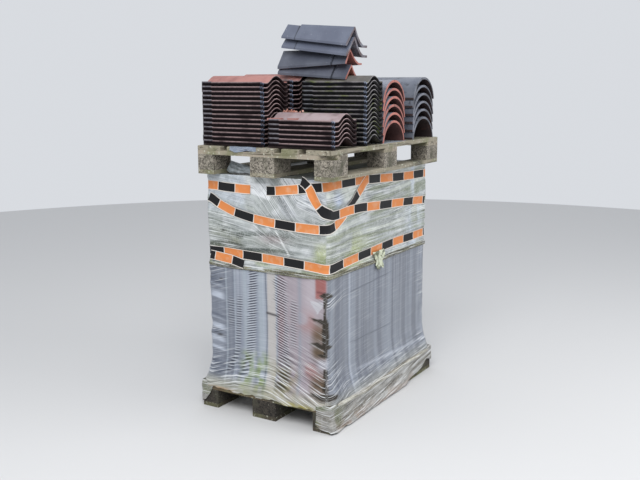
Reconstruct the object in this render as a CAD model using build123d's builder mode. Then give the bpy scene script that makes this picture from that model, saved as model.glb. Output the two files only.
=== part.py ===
"""Film-wrapped pallet of roof tiles, with a second pallet of loose tiles standing on it.

Millimetres, +Z up. The origin is on the floor, under the middle of the lower pallet.
X runs along the pallets' short side and Y along their long side. The photographed
front is the short side at -Y, and the side that shows on its right is +X.
"""
import os
from math import asin, atan2, cos, degrees, pi, sin, sqrt, tan

from build123d import *

os.makedirs("parts", exist_ok=True)

# Both pallets are the common 800 x 1200 flat pallet
pallet_width = 800
pallet_length = 1200
wide_board = 145
narrow_board = 100
board_thickness = 22
block_height = 78
board_easing = 2
pallet_height = 3 * board_thickness + block_height

# The tile load on the lower pallet, stacked in layers of like tiles
load_setback = 40
load_tile_pitch = 21.6
tiles_per_layer = 8
tiles_in_foot_layer = 4
full_layers = 6
columns_across = 3
columns_along = 3
column_gap = 6
column_gap_depth = 18
layer_joint = 7
layer_joint_depth = 14

# Film, tape and the clearance that keeps neighbours apart
clearance = 0.3
film = 1.7
upper_film = 5.7
roll_height = 22
roll_depth = 9
top_film = 3
load_corner = 18
lap_height = 800
flare_height = 150
skirt_thickness = 3
skirt_off_floor = 0.5
corner_wrap = 80
side_wrap = 110
rope_radius = 12
rope_sides = 8
rope_below_deck = 16
flap_width = 160
flap_height = 120
flap_depth = 6
flap_below_lap = 78
flap_middle = -40
pocket_flap_height = 30
pocket_flap_beside_block = 12
pocket_flap_inset = 8
deck_flap_middle = -80
deck_flap_drop = 30

# Printed tape: two level bands, and two loose strands measured down from the load's top
tape_width = 50
tape = 0.8
top_tape_drop = 82
tape_above_lap = 6
slack_left_drop = 127
slack_corner_drop = 231
slack_front_sag = 46
slack_rise_drop = 31
slack_rise_reach = 398
slack_rise_sag = 16
cross_start_reach = 178
cross_start_drop = 27
cross_front_drop = 159
cross_front_crown = 8
cross_corner_drop = 162
cross_far_drop = 267
cross_right_sag = 20

# The upper pallet stands a little off the lower one's middle
upper_shift_x = 34
upper_shift_y = -31
broken_stringer_cut = 60

# Clay pan tiles: flat pan, rolled wave, rims that the next tile rests on
tile_thickness = 10
rim_height = 5
rim_width = 6
rib_width = 8
pan_pitch = 22.4
behind_pitch = 23.1
pan_length = 384
short_pan_length = 380
clipped_corner = 26
head_zone = 84
wide_flat = 88
wide_wave = 190
wide_wave_height = 35
wide_tail = 15
narrow_flat = 40
narrow_wave = 138
narrow_wave_height = 34
narrow_tail = 20
wave_flats = 8
tall_stack_count = 14
short_stack_count = 6

# Where the loose stacks stand on the upper deck
stack_setback = 14
stack_gap = 18
stack_end_gap = 22
barrel_gap = 100
sheet_reach = 190
film_under_tiles = 1.5

# Half-round ridge tiles
red_radius = 128
grey_radius = 136
barrel_thickness = 11.7
barrel_foot = 14
barrel_length = 385
barrel_flats = 18
red_count = 6
grey_count = 6

# Angular ridge tiles: two with the collar at the right, and on them two with it at the left
ridge_length = 400
ridge_height = 95
ridge_narrowing = 15
ridge_nest = 50
ridge_thickness = 12
ridge_front_reach = 72
ridge_back_reach = 150
ridge_back_drop = 5
ridge_foot = 42
ridge_collar = 85
ridge_collar_step = 7
ridge_web = 14
ridge_web_inset = 120
ridge_first_web = 11
ridge_apex = 8
ridge_hollow = 12
ridge_play = 1.4
ridge_propped_lean = -3.3
ridge_turned_lean = 6.8
ridge_turned_gap = 13
ridge_lower_setback = 134
ridge_upper_setback = 120

# Bits of a broken tile on the short stack: how far along the tile, how long, and how turned
first_shard = (42, 44, 12)
second_shard = (126, 34, 200)

# Places that follow from the sizes above
load_width = pallet_width - 2 * load_setback
load_length = pallet_length - 2 * load_setback
load_height = load_tile_pitch * (tiles_in_foot_layer + tiles_per_layer * full_layers)
load_top = pallet_height + load_height
upper_pallet_bottom = load_top + top_film
upper_deck = upper_pallet_bottom + pallet_height
upper_front = upper_shift_y - pallet_length / 2
upper_right = upper_shift_x + pallet_width / 2
load_half_x = load_width / 2
load_half_y = load_length / 2


def save(piece, name):
    """Label a finished piece and write it under its own name."""
    piece.part.label = name
    export_step(piece.part, "parts/" + name + ".step")


def save_solids(solids, name):
    """Write like pieces that do not touch as one group."""
    group = Compound(label=name, children=solids)
    export_step(group, "parts/" + name + ".step")


def across(x, y, z):
    """A sketch plane square to X, so that a profile drawn along Y is extruded towards +X."""
    return Plane(origin=(x, y, z), x_dir=(0, 1, 0), z_dir=(1, 0, 0))


def sawn_board(size_x, size_y, x, y, z, broken_away=None):
    """A board with its upper edges eased, centred at x, y with its underside at z."""
    with BuildPart() as board:
        with BuildSketch(Plane.XY.offset(z)):
            with Locations((x, y)):
                Rectangle(size_x, size_y)
        extrude(amount=board_thickness)
        chamfer(board.edges().group_by(Axis.Z)[-1], length=board_easing)
        if broken_away:
            extrude(broken_away.sketch, amount=board_thickness, mode=Mode.SUBTRACT)
    return board


def split_corner(corner_x, corner_y, z):
    """The outline of the splintered wood that is gone from a stringer's end."""
    with BuildSketch(Plane.XY.offset(z)) as outline:
        with BuildLine():
            Polyline(
                (corner_x, corner_y),
                (corner_x - 1.4 * broken_stringer_cut, corner_y),
                (corner_x - 0.6 * broken_stringer_cut, corner_y + 0.5 * broken_stringer_cut),
                (corner_x, corner_y + 0.7 * broken_stringer_cut),
                close=True,
            )
        make_face()
    return outline


def pallet_blocks(shift_x, shift_y, z):
    """The nine pressed-chip blocks: wide ones along the middle, narrow ones at the sides."""
    blocks = []
    for column in (-1, 0, 1):
        block_width = narrow_board if column else wide_board
        for row in (-1, 0, 1):
            x = shift_x + column * (pallet_width - narrow_board) / 2
            y = shift_y + row * (pallet_length - wide_board) / 2
            with BuildPart() as block:
                with BuildSketch(Plane.XY.offset(z)):
                    with Locations((x, y)):
                        Rectangle(block_width, wide_board)
                extrude(amount=block_height)
            blocks.append(block.part)
    return blocks


def pallet(name, shift_x, shift_y, floor_z, broken):
    """Write one pallet: three bottom boards, nine blocks, three stringers, five deck boards."""
    side = (pallet_width - narrow_board) / 2
    for number, column in enumerate((-1, 0, 1), start=1):
        width = narrow_board if column else wide_board
        board = sawn_board(width, pallet_length, shift_x + column * side, shift_y, floor_z)
        save(board, f"{name}_bottom_board_{number}")

    blocks_z = floor_z + board_thickness
    save_solids(pallet_blocks(shift_x, shift_y, blocks_z), f"{name}_blocks")

    stringers_z = blocks_z + block_height
    for number, row in enumerate((-1, 0, 1), start=1):
        y = shift_y + row * (pallet_length - wide_board) / 2
        gone = None
        if broken and row == -1:
            gone = split_corner(shift_x + pallet_width / 2, y - wide_board / 2, stringers_z)
        stringer = sawn_board(pallet_width, wide_board, shift_x, y, stringers_z, gone)
        save(stringer, f"{name}_stringer_{number}")

    deck_z = stringers_z + board_thickness
    widths = (wide_board, narrow_board, wide_board, narrow_board, wide_board)
    gap = (pallet_width - sum(widths)) / (len(widths) - 1)
    left = shift_x - pallet_width / 2
    for number, width in enumerate(widths, start=1):
        board = sawn_board(width, pallet_length, left + width / 2, shift_y, deck_z)
        save(board, f"{name}_deck_board_{number}")
        left += width + gap


def corner_clip(grow):
    """The clip of a corner that keeps an even distance when its outline grows."""
    return load_corner + grow * (2 - sqrt(2))


def load_outline(z, grow):
    """The load's plan with its clipped corners, grown evenly on all sides."""
    with BuildSketch(Plane.XY.offset(z)) as outline:
        rectangle = Rectangle(load_width + 2 * grow, load_length + 2 * grow)
        chamfer(rectangle.vertices(), length=corner_clip(grow))
    return outline.sketch


def tile_layer(number, bottom, tiles):
    """One layer of the wrapped load, with the gaps between its stacks cut into its faces."""
    top = bottom + tiles * load_tile_pitch
    with BuildPart() as layer:
        extrude(load_outline(bottom, 0), amount=top - bottom)
        with BuildSketch(Plane.XY.offset(bottom)):
            for cut in range(1, columns_across):
                x = -load_half_x + cut * load_width / columns_across
                with Locations((x, -load_half_y), (x, load_half_y)):
                    Rectangle(column_gap, 2 * column_gap_depth)
            for cut in range(1, columns_along):
                y = -load_half_y + cut * load_length / columns_along
                with Locations((-load_half_x, y), (load_half_x, y)):
                    Rectangle(2 * column_gap_depth, column_gap)
        extrude(amount=top - bottom, mode=Mode.SUBTRACT)
        with BuildSketch(Plane.XY.offset(top - layer_joint)):
            Rectangle(load_width, load_length)
            Rectangle(
                load_width - 2 * layer_joint_depth,
                load_length - 2 * layer_joint_depth,
                mode=Mode.SUBTRACT,
            )
        extrude(amount=layer_joint, mode=Mode.SUBTRACT)
    save(layer, f"tile_layer_{number}")
    return top


def ring(bottom, height, inner_offset, thickness):
    """A band of even thickness right round the load, inner_offset clear of its faces."""
    with BuildPart() as band:
        extrude(load_outline(bottom, inner_offset + thickness), amount=height)
        extrude(load_outline(bottom, inner_offset), amount=height, mode=Mode.SUBTRACT)
    return band


def foot_outline(grow):
    """Where the film meets the deck: the pallet's plan, drawn in so that it stays on the boards."""
    inset = film + clearance - grow
    with BuildSketch(Plane.XY.offset(pallet_height)) as outline:
        rectangle = Rectangle(pallet_width - 2 * inset, pallet_length - 2 * inset)
        chamfer(rectangle.vertices(), length=corner_clip(grow))
    return outline.sketch


def inside_film(grow):
    """The solid within a face of the lower film: upright walls over a foot that widens to the deck."""
    walls_bottom = pallet_height + flare_height
    walls = lap_height + roll_height - walls_bottom
    with BuildPart() as inside:
        extrude(load_outline(walls_bottom, grow), amount=walls)
        loft([foot_outline(grow), load_outline(walls_bottom, grow)], ruled=True)
    return inside.part


def lower_film():
    """Stretch film round the lower load, flaring out to the deck's edge at its foot."""
    with BuildPart() as wrap:
        add(inside_film(clearance + film))
        add(inside_film(clearance), mode=Mode.SUBTRACT)
    save(wrap, "lower_film")


def film_pieces():
    """The wrap round the load, its rolled hem, the top film and the skirts down to the floor."""
    lower_film()
    upper_inner = clearance + film + clearance
    save(ring(lap_height - roll_height, roll_height, upper_inner, roll_depth), "film_hem_roll")
    wrap = ring(lap_height + clearance, load_top - lap_height - clearance, upper_inner, upper_film)
    save(wrap, "upper_film")

    with BuildPart() as top:
        extrude(load_outline(load_top, upper_inner + upper_film), amount=top_film)
    save(top, "top_film")

    side = pallet_width / 2 + clearance
    outside = side + skirt_thickness
    front = -pallet_length / 2 - clearance - skirt_thickness
    right = [
        skirt(side, -pallet_length / 2, skirt_thickness, pallet_length),
        skirt(outside - corner_wrap, front, corner_wrap, skirt_thickness),
    ]
    save_solids(right, "film_skirt_right")
    left = [
        skirt(-outside, -pallet_length / 2, skirt_thickness, side_wrap),
        skirt(-outside, front, corner_wrap, skirt_thickness),
    ]
    save_solids(left, "film_skirt_left")

    with BuildPart() as rope:
        rope_x = outside + clearance + rope_radius
        with BuildSketch(Plane.XZ.offset((pallet_length - side_wrap) / 2)):
            with Locations((rope_x, pallet_height - rope_below_deck)):
                RegularPolygon(rope_radius, rope_sides)
        extrude(amount=-pallet_length + side_wrap)
    save(rope, "film_rope")
    flaps(upper_inner + roll_depth)


def skirt(x, y, size_x, size_y):
    """A strip of film hanging beside the pallet from its deck's edge almost to the floor."""
    with BuildPart() as strip:
        with BuildSketch(Plane.XY.offset(skirt_off_floor)):
            with Locations((x, y)):
                Rectangle(size_x, size_y, align=(Align.MIN, Align.MIN))
        extrude(amount=pallet_height - 2 * skirt_off_floor)
    return strip.part


def flaps(out):
    """Torn film: a flap on the right face, one in a fork pocket, one over the deck's front edge."""
    with BuildPart() as torn:
        with BuildSketch(Plane.XY.offset(lap_height - flap_below_lap)):
            with Locations((load_half_x + out + clearance, flap_middle)):
                Rectangle(flap_depth, flap_width, align=(Align.MIN, Align.CENTER))
        extrude(amount=flap_height)
    save(torn, "film_flap_right")

    pocket_x = upper_shift_x - pallet_width / 2 + narrow_board + pocket_flap_beside_block
    with BuildPart() as pocket:
        with BuildSketch(Plane.XY.offset(upper_pallet_bottom)):
            with Locations((pocket_x, -load_half_y + pocket_flap_inset)):
                Rectangle(flap_width, flap_depth, align=(Align.MIN, Align.MIN))
        extrude(amount=pocket_flap_height)
    save(pocket, "film_flap_pocket")

    board_end = upper_front - clearance
    with BuildPart() as deck:
        with BuildSketch(Plane.XZ.offset(-board_end)):
            with Locations((deck_flap_middle, upper_deck + film_under_tiles)):
                Rectangle(flap_width, deck_flap_drop, align=(Align.CENTER, Align.MAX))
        extrude(amount=film_under_tiles)
        with BuildSketch(Plane.XY.offset(upper_deck)):
            with Locations((deck_flap_middle, board_end - film_under_tiles)):
                Rectangle(flap_width, stack_setback, align=(Align.CENTER, Align.MIN))
        extrude(amount=film_under_tiles)
    save(deck, "film_flap_deck")


def tape_on_front(from_x, from_z, to_x, to_z, sag, out):
    """A strand of tape on the front face, sagging in one arc between its ends."""
    outline = tape_outline(Plane.XZ.offset(load_half_y + out), from_x, from_z, to_x, to_z, sag)
    with BuildPart() as strand:
        extrude(outline.sketch, amount=tape)
    return strand


def tape_on_right(from_y, from_z, to_y, to_z, sag, out):
    """A strand of tape on the right-hand face, sagging in one arc between its ends."""
    outline = tape_outline(Plane.YZ.offset(load_half_x + out), from_y, from_z, to_y, to_z, sag)
    with BuildPart() as strand:
        extrude(outline.sketch, amount=tape)
    return strand


def tape_outline(face, from_s, from_z, to_s, to_z, sag):
    """The strip between two like arcs, half the tape's width above and below its middle."""
    run = sqrt((to_s - from_s) ** 2 + (to_z - from_z) ** 2)
    half = tape_width / 2 * run / abs(to_s - from_s)
    middle_s = (from_s + to_s) / 2
    middle_z = (from_z + to_z) / 2 - sag
    with BuildSketch(face) as outline:
        with BuildLine():
            lower = ThreePointArc(
                (from_s, from_z - half), (middle_s, middle_z - half), (to_s, to_z - half)
            )
            upper = ThreePointArc(
                (from_s, from_z + half), (middle_s, middle_z + half), (to_s, to_z + half)
            )
            Line(lower @ 0, upper @ 0)
            Line(lower @ 1, upper @ 1)
        make_face()
    return outline


def tapes():
    """Two level bands right round, and two strands that slipped and hang across the corner."""
    on_film = clearance + film + clearance + upper_film + clearance
    on_tape = on_film + tape + clearance
    save(ring(load_top - top_tape_drop, tape_width, on_film, tape), "tape_top")
    save(ring(lap_height + tape_above_lap, tape_width, on_film, tape), "tape_bottom")

    corner_x = load_half_x + on_film
    corner_y = load_half_y + on_film
    left_z = load_top - slack_left_drop
    corner_z = load_top - slack_corner_drop
    rise_y = slack_rise_reach - corner_y
    rise_z = load_top - slack_rise_drop
    slack = [
        tape_on_front(-corner_x, left_z, corner_x, corner_z, slack_front_sag, on_film),
        tape_on_right(-corner_y, corner_z, rise_y, rise_z, slack_rise_sag, on_tape),
    ]
    save_solids([strand.part for strand in slack], "tape_slack")

    start_x = corner_x - cross_start_reach
    start_z = load_top - cross_start_drop
    front_z = load_top - cross_front_drop
    right_z = load_top - cross_corner_drop
    far_z = load_top - cross_far_drop
    cross = [
        tape_on_front(start_x, start_z, corner_x, front_z, -cross_front_crown, on_tape),
        tape_on_right(-corner_y, right_z, corner_y, far_z, cross_right_sag, on_film),
    ]
    save_solids([strand.part for strand in cross], "tape_cross")


def wave_points(start, width, height, lift):
    """The rolled wave as short flats of equal width, starting and ending level."""
    return [
        (start + width * step / wave_flats, lift + height / 2 * (1 - cos(2 * pi * step / wave_flats)))
        for step in range(wave_flats + 1)
    ]


def pan_profile(plane, pitch, flat, wave_width, wave_height, tail):
    """The tile's end: two rims and a flat pan, the rolled wave, and a rimmed tail with its lip."""
    lip = pitch - tile_thickness - rim_height - clearance
    rib = pitch - tile_thickness - clearance
    wave_end = flat + wave_width
    width = wave_end + tail
    rib_start = 4 * rim_width
    top = [
        (0, 0),
        (0, tile_thickness + rim_height),
        (rim_width, tile_thickness + rim_height),
        (rim_width, tile_thickness),
        (2 * rim_width, tile_thickness),
        (2 * rim_width, tile_thickness + rim_height),
        (3 * rim_width, tile_thickness + rim_height),
        (3 * rim_width, tile_thickness),
    ]
    tail_lip = [
        (width - rib_width, tile_thickness),
        (width - rib_width, tile_thickness + rim_height),
        (width, tile_thickness + rim_height),
        (width, -lip),
        (width - rib_width, -lip),
        (width - rib_width, 0),
    ]
    under_rib = [
        (rib_start + rib_width, 0),
        (rib_start + rib_width, -rib),
        (rib_start, -rib),
        (rib_start, 0),
    ]
    crown = wave_points(flat, wave_width, wave_height, tile_thickness)
    hollow = wave_points(flat, wave_width, wave_height, 0)[::-1]
    with BuildSketch(plane) as profile:
        with BuildLine():
            Polyline(*top, *crown, *tail_lip, *hollow, *under_rib, close=True)
        make_face()
    return profile


def pan_tile(length, pitch, form, x, y, z):
    """One pan tile along X, its head at x with the front corner clipped and the rim cut back."""
    profile = pan_profile(across(x, y, z), pitch, *form)
    with BuildPart() as tile:
        extrude(profile.sketch, amount=length)
        with BuildSketch(Plane.XY.offset(z - pitch)):
            with BuildLine():
                Polyline(
                    (x, y),
                    (x + head_zone, y),
                    (x + head_zone, y + rim_width),
                    (x + clipped_corner, y + rim_width),
                    (x, y + rim_width + clipped_corner),
                    close=True,
                )
            make_face()
        extrude(amount=3 * pitch, mode=Mode.SUBTRACT)
    return tile


def pan_stack(name, count, length, pitch, form, x, y):
    """Nested pan tiles on the upper deck, each on the rims of the one below; gives the top pan's height."""
    first = upper_deck + pitch - tile_thickness - clearance
    tile = pan_tile(length, pitch, form, x, y, first)
    tiles = [tile.part.moved(Location((0, 0, number * pitch))) for number in range(count)]
    save_solids(tiles, name)
    return first + (count - 1) * pitch + tile_thickness


def barrel_arc(radius):
    """An arch of even short flats whose two ends are cut level, barrel_foot above its centre."""
    foot_angle = asin(barrel_foot / radius)
    turn = (pi - 2 * foot_angle) / barrel_flats
    angles = [foot_angle + turn * step for step in range(barrel_flats + 1)]
    return [(-radius * cos(angle), radius * sin(angle) - barrel_foot) for angle in angles]


def barrel_stack(name, count, radius, right_x, y, z):
    """Half-round ridge tiles nested one over the other, standing on their long edges."""
    inner = radius - barrel_thickness
    foot_in = sqrt(inner ** 2 - barrel_foot ** 2)
    pitch = sqrt((radius + clearance) ** 2 - foot_in ** 2) - barrel_foot
    with BuildPart() as tile:
        with BuildSketch(across(right_x, y, z)):
            with BuildLine():
                Polyline(*barrel_arc(radius), *barrel_arc(inner)[::-1], close=True)
            make_face()
        extrude(amount=-barrel_length)
    tiles = [tile.part.moved(Location((0, 0, number * pitch))) for number in range(count)]
    save_solids(tiles, name)


def hollow_slope(top, foot):
    """The two points between a back slope's ends that give it its hollow."""
    return [
        (
            top[0] + part * (foot[0] - top[0]),
            top[1] + part * (foot[1] - top[1]) - ridge_hollow,
        )
        for part in (1 / 3, 2 / 3)
    ]


def ridge_corners(x, top):
    """The angular ridge tile's section at x, to the size its ridge line's height gives.

    A straight front slope, and a longer hollow back slope that flares to a flat foot.
    """
    size = top / ridge_height
    front_y = -ridge_front_reach
    foot_start = ridge_back_reach - ridge_foot
    foot_top = ridge_thickness - ridge_back_drop
    apex = (ridge_apex / 2, ridge_height)
    under_apex = (ridge_apex / 2, ridge_height - ridge_thickness * sqrt(2))
    foot = (foot_start, foot_top)
    under_foot = (foot_start - ridge_thickness / 2, -ridge_back_drop)
    corners = [
        (front_y, 0),
        (front_y, ridge_thickness),
        (-apex[0], apex[1]),
        apex,
        *hollow_slope(apex, foot),
        foot,
        (ridge_back_reach, foot_top),
        (ridge_back_reach, -ridge_back_drop),
        under_foot,
        *reversed(hollow_slope(under_apex, under_foot)),
        under_apex,
        (-under_apex[0], under_apex[1]),
        (front_y + ridge_thickness, 0),
    ]
    return [Vector(x, size * y, size * z) for y, z in corners]


def between(near, far):
    """A solid with flat sides between two like sections."""
    sides = [
        Face(Wire.make_polygon([near[number - 1], near[number], far[number], far[number - 1]]))
        for number in range(len(near))
    ]
    ends = [Face(Wire.make_polygon(section)) for section in (near, far)]
    return Solid(Shell(sides + ends))


def ridge_line(place, collar_left):
    """Two points on a placed tile's ridge line: at its open end and where its collar starts."""
    open_x, joint_x = (ridge_length, ridge_collar) if collar_left else (0, ridge_length - ridge_collar)
    ends = [(open_x, 0, ridge_height), (joint_x, 0, ridge_height - ridge_narrowing)]
    return [place.from_local_coords(end) for end in ends]


def ridge_tile(number, place, collar_left, support):
    """One angular ridge tile, narrowing to its stepped collar, on webs that end on a line below it."""
    joint_top = ridge_height - ridge_narrowing
    collar_top = joint_top - ridge_collar_step
    start, end = [place.to_local_coords(point) for point in support]
    slope = (end.Z - start.Z) / (end.X - start.X)
    open_x, joint_x, collar_x = 0, ridge_length - ridge_collar, ridge_length
    if collar_left:
        open_x, joint_x, collar_x = ridge_length, ridge_collar, 0
    with BuildPart() as tile:
        add(between(ridge_corners(open_x, ridge_height), ridge_corners(joint_x, joint_top)))
        add(between(ridge_corners(joint_x, collar_top), ridge_corners(collar_x, collar_top)))
        for web_x in (ridge_web_inset, ridge_length - ridge_web_inset - ridge_web):
            web_bottom = clearance + max(
                start.Z + slope * (web_end - start.X) for web_end in (web_x, web_x + ridge_web)
            )
            reach = max(abs(open_x - web_x), abs(open_x - web_x - ridge_web))
            fallen = ridge_narrowing * reach / (ridge_length - ridge_collar)
            web_top = ridge_height - fallen - ridge_thickness
            with BuildSketch(across(web_x, 0, web_bottom)):
                Rectangle(2 * ridge_apex, web_top - web_bottom, align=(Align.CENTER, Align.MIN))
            extrude(amount=ridge_web)
    placed = place.location * tile.part
    placed.label = f"angular_ridge_tile_{number}"
    export_step(placed, "parts/" + placed.label + ".step")


def ridge_tiles(left_crest, right_crest, right_end):
    """Four ridge tiles across two stacks' crests, leaning as they were put down.

    The first lies on the crests. The second nests in it at its open end and is propped up at its
    collar. The upper two are turned round and lean the other way, one nested on the other.
    """
    lower_x = right_end - ridge_lower_setback - ridge_length
    upper_x = right_end - ridge_upper_setback - ridge_length
    crests = right_crest - left_crest
    lean = atan2(-crests.Z, crests.X)
    start = left_crest.X - lower_x
    base = left_crest.Z + start * tan(lean) - ridge_first_web / cos(lean)
    slope = (ridge_height - ridge_thickness) / (ridge_front_reach - ridge_apex / 2)
    second_base = base + ridge_thickness * (1 + slope) + ridge_play
    third_base = second_base + ridge_height + ridge_turned_gap
    fourth_base = third_base + ridge_nest

    def leaning(x, z, angle):
        return Plane(Location((x, left_crest.Y, z), (0, angle, 0)))

    first = leaning(lower_x, base, degrees(lean))
    second = leaning(lower_x, second_base, ridge_propped_lean)
    third = leaning(upper_x, third_base, ridge_turned_lean)
    fourth = leaning(upper_x, fourth_base, ridge_turned_lean)
    ridge_tile(1, first, False, (left_crest, right_crest))
    ridge_tile(2, second, False, ridge_line(first, False))
    ridge_tile(3, third, True, ridge_line(second, False))
    ridge_tile(4, fourth, True, ridge_line(third, True))


def loose_tiles():
    """The loose stacks on the upper deck, their right-hand ends nearly flush with its edge."""
    tile_right = upper_right - stack_setback
    wide_front = upper_front + stack_setback + film_under_tiles
    narrow_front = wide_front + wide_flat + wide_wave + wide_tail + stack_gap
    left_x = tile_right - short_pan_length - stack_end_gap - pan_length
    right_x = tile_right - short_pan_length
    wide = (wide_flat, wide_wave, wide_wave_height, wide_tail)
    narrow = (narrow_flat, narrow_wave, narrow_wave_height, narrow_tail)
    pan_stack(
        "pan_tiles_front", tall_stack_count, pan_length, pan_pitch, wide, left_x, wide_front
    )
    behind_top = pan_stack(
        "pan_tiles_behind", tall_stack_count, pan_length, behind_pitch, narrow, left_x, narrow_front
    )
    short_top = pan_stack(
        "pan_tiles_short_stack", short_stack_count, short_pan_length, pan_pitch, wide, right_x, wide_front
    )
    narrow_top = pan_stack(
        "pan_tiles_narrow", tall_stack_count, short_pan_length, pan_pitch, narrow, right_x, narrow_front
    )
    crest_y = narrow_front + narrow_flat + narrow_wave / 2
    lowest_web_x = tile_right - ridge_lower_setback - ridge_web_inset
    ridge_tiles(
        Vector(left_x + pan_length, crest_y, behind_top + narrow_wave_height),
        Vector(lowest_web_x, crest_y, narrow_top + narrow_wave_height),
        tile_right,
    )

    red_y = narrow_front + narrow_flat + narrow_wave + narrow_tail + stack_gap + red_radius
    grey_y = red_y + red_radius + barrel_gap + grey_radius
    with BuildPart() as deck_sheet:
        with BuildSketch(Plane.XY.offset(upper_deck)):
            with Locations((tile_right, red_y)):
                Rectangle(sheet_reach, 2 * red_radius + stack_gap, align=(Align.MAX, Align.CENTER))
        extrude(amount=film_under_tiles)
    save(deck_sheet, "deck_film_sheet")
    red_z = upper_deck + film_under_tiles
    barrel_stack("half_round_tiles_red", red_count, red_radius, tile_right, red_y, red_z)
    barrel_stack("half_round_tiles_grey", grey_count, grey_radius, tile_right, grey_y, upper_deck)
    fragments(right_x, wide_front, short_top)


def fragments(left_x, front_y, z):
    """Bits of a broken pan tile that lie in the pan of the short stack's top tile."""
    pieces = []
    middle_y = front_y + (wide_flat + 3 * rim_width) / 2
    for along, size, turn in (first_shard, second_shard):
        lie = Plane((left_x + along, middle_y, z)).rotated((0, 0, turn))
        with BuildPart() as shard:
            with BuildSketch(lie):
                with BuildLine():
                    Polyline(
                        (-size, -0.6 * size),
                        (0.8 * size, -0.5 * size),
                        (0.5 * size, 0.55 * size),
                        (-0.7 * size, 0.4 * size),
                        close=True,
                    )
                make_face()
            extrude(amount=tile_thickness)
        pieces.append(shard.part)
    save_solids(pieces, "broken_tile_pieces")


pallet("lower_pallet", 0, 0, 0, False)
next_bottom = tile_layer(1, pallet_height, tiles_in_foot_layer)
for layer_number in range(2, full_layers + 2):
    next_bottom = tile_layer(layer_number, next_bottom, tiles_per_layer)
film_pieces()
tapes()
pallet("upper_pallet", upper_shift_x, upper_shift_y, upper_pallet_bottom, True)
loose_tiles()
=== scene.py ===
import math

import bmesh
import bpy
import numpy as np
from mathutils import Matrix, Vector


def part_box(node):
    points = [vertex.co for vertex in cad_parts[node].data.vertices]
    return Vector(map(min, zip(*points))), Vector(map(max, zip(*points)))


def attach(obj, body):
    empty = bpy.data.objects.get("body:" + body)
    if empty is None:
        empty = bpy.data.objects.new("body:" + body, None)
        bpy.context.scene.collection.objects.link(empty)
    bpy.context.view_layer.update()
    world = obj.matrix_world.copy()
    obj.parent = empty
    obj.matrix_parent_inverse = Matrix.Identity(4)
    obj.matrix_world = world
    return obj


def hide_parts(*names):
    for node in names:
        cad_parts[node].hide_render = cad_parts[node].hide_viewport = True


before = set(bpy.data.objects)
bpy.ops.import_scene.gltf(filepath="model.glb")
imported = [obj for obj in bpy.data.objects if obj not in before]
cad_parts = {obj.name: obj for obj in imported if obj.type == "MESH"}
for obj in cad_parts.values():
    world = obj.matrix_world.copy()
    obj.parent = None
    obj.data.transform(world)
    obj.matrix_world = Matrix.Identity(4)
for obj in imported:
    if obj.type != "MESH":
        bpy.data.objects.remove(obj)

scene = bpy.context.scene
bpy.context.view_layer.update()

# Two flat pallets of sawn softwood: deck boards on stringers, blocks of pressed chips, and boards
# below. The upper one is weathered grey, with lichen and algae, and the lower one is painted darker:
# painted shade, for the shade it stands in under the wrap.


def node(tree, kind, inputs, **settings):
    """Adds a node; an input that is a socket is linked, and any other is set as its value."""
    made = tree.nodes.new(kind if "Node" in kind else "ShaderNode" + kind)
    for name, value in settings.items():
        setattr(made, name, value)
    for name, value in inputs.items():
        if isinstance(value, bpy.types.NodeSocket):
            tree.links.new(value, made.inputs[name])
        else:
            made.inputs[name].default_value = value
    return made


def maths(tree, operation, *numbers):
    """A number worked out from one or two others."""
    return node(tree, "Math", dict(enumerate(numbers)), operation=operation).outputs[0]


def new_material(name, roughness):
    """A material, its node tree and its shader, with the roughness set."""
    material = bpy.data.materials.new(name)
    material.use_nodes = True
    tree = material.node_tree
    shader = tree.nodes["Principled BSDF"]
    shader.inputs["Roughness"].default_value = roughness
    return material, tree, shader


def between(tree, value, low, high):
    """A mask that rises from 0 where the value is low to 1 where it is high."""
    rise = node(tree, "MapRange", {"Value": value, "From Min": low, "From Max": high})
    return rise.outputs["Result"]


def noise(tree, place, scale, detail):
    """Soft noise from 0 to 1, with so many patches to a metre."""
    return node(tree, "TexNoise", {"Vector": place, "Scale": scale, "Detail": detail}).outputs["Fac"]


def spots(tree, place, scale, low, high, detail=4.0):
    """A mask of noise: 0 where it is below low, 1 where it is above high."""
    return between(tree, noise(tree, place, scale, detail), low, high)


def mixed(tree, mask, under, over, blend="MIX"):
    """One colour over another, by a mask. A colour is a socket, or its three parts."""
    under, over = ((*colour, 1) if isinstance(colour, tuple) else colour for colour in (under, over))
    mix = node(tree, "Mix", {0: mask, 6: under, 7: over}, data_type="RGBA", blend_type=blend)
    return mix.outputs[2]


def times(tree, first, *others):
    """Masks multiplied."""
    for other in others:
        first = maths(tree, "MULTIPLY", first, other)
    return first


def stained(tree, place, colour, *stains):
    """A colour under stains: each one's scale, the noise where it starts and is full, the noise's
    detail, its strength and its colour."""
    for scale, low, high, detail, strength, stain in stains:
        mask = times(tree, spots(tree, place, scale, low, high, detail), strength)
        colour = mixed(tree, mask, colour, stain)
    return colour


def object_place(tree):
    """Each point's place in metres, the same for every piece."""
    return node(tree, "TexCoord", {}).outputs["Object"]


def drawn_noise(tree, place, scales, detail):
    """Noise drawn out along the axis of the smallest scale."""
    drawn = node(tree, "Mapping", {"Vector": place, "Scale": scales}).outputs["Vector"]
    return noise(tree, drawn, 1.0, detail)


def cells_of(tree, place, scale):
    """A random shade from 0 to 1 for each cell of a broken surface."""
    cells = node(tree, "TexVoronoi", {"Vector": place, "Scale": scale})
    return node(tree, "SeparateColor", {"Color": cells.outputs["Color"]}).outputs["Red"]


def colour_with(tree, shader, colour):
    """Turns a colour into the shader's own."""
    tree.links.new(colour, shader.inputs["Base Color"])


def relief(tree, shader, height, distance):
    """Turns a height into the shader's bump."""
    bump = node(tree, "Bump", {"Height": height, "Distance": distance})
    tree.links.new(bump.outputs["Normal"], shader.inputs["Normal"])


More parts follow.
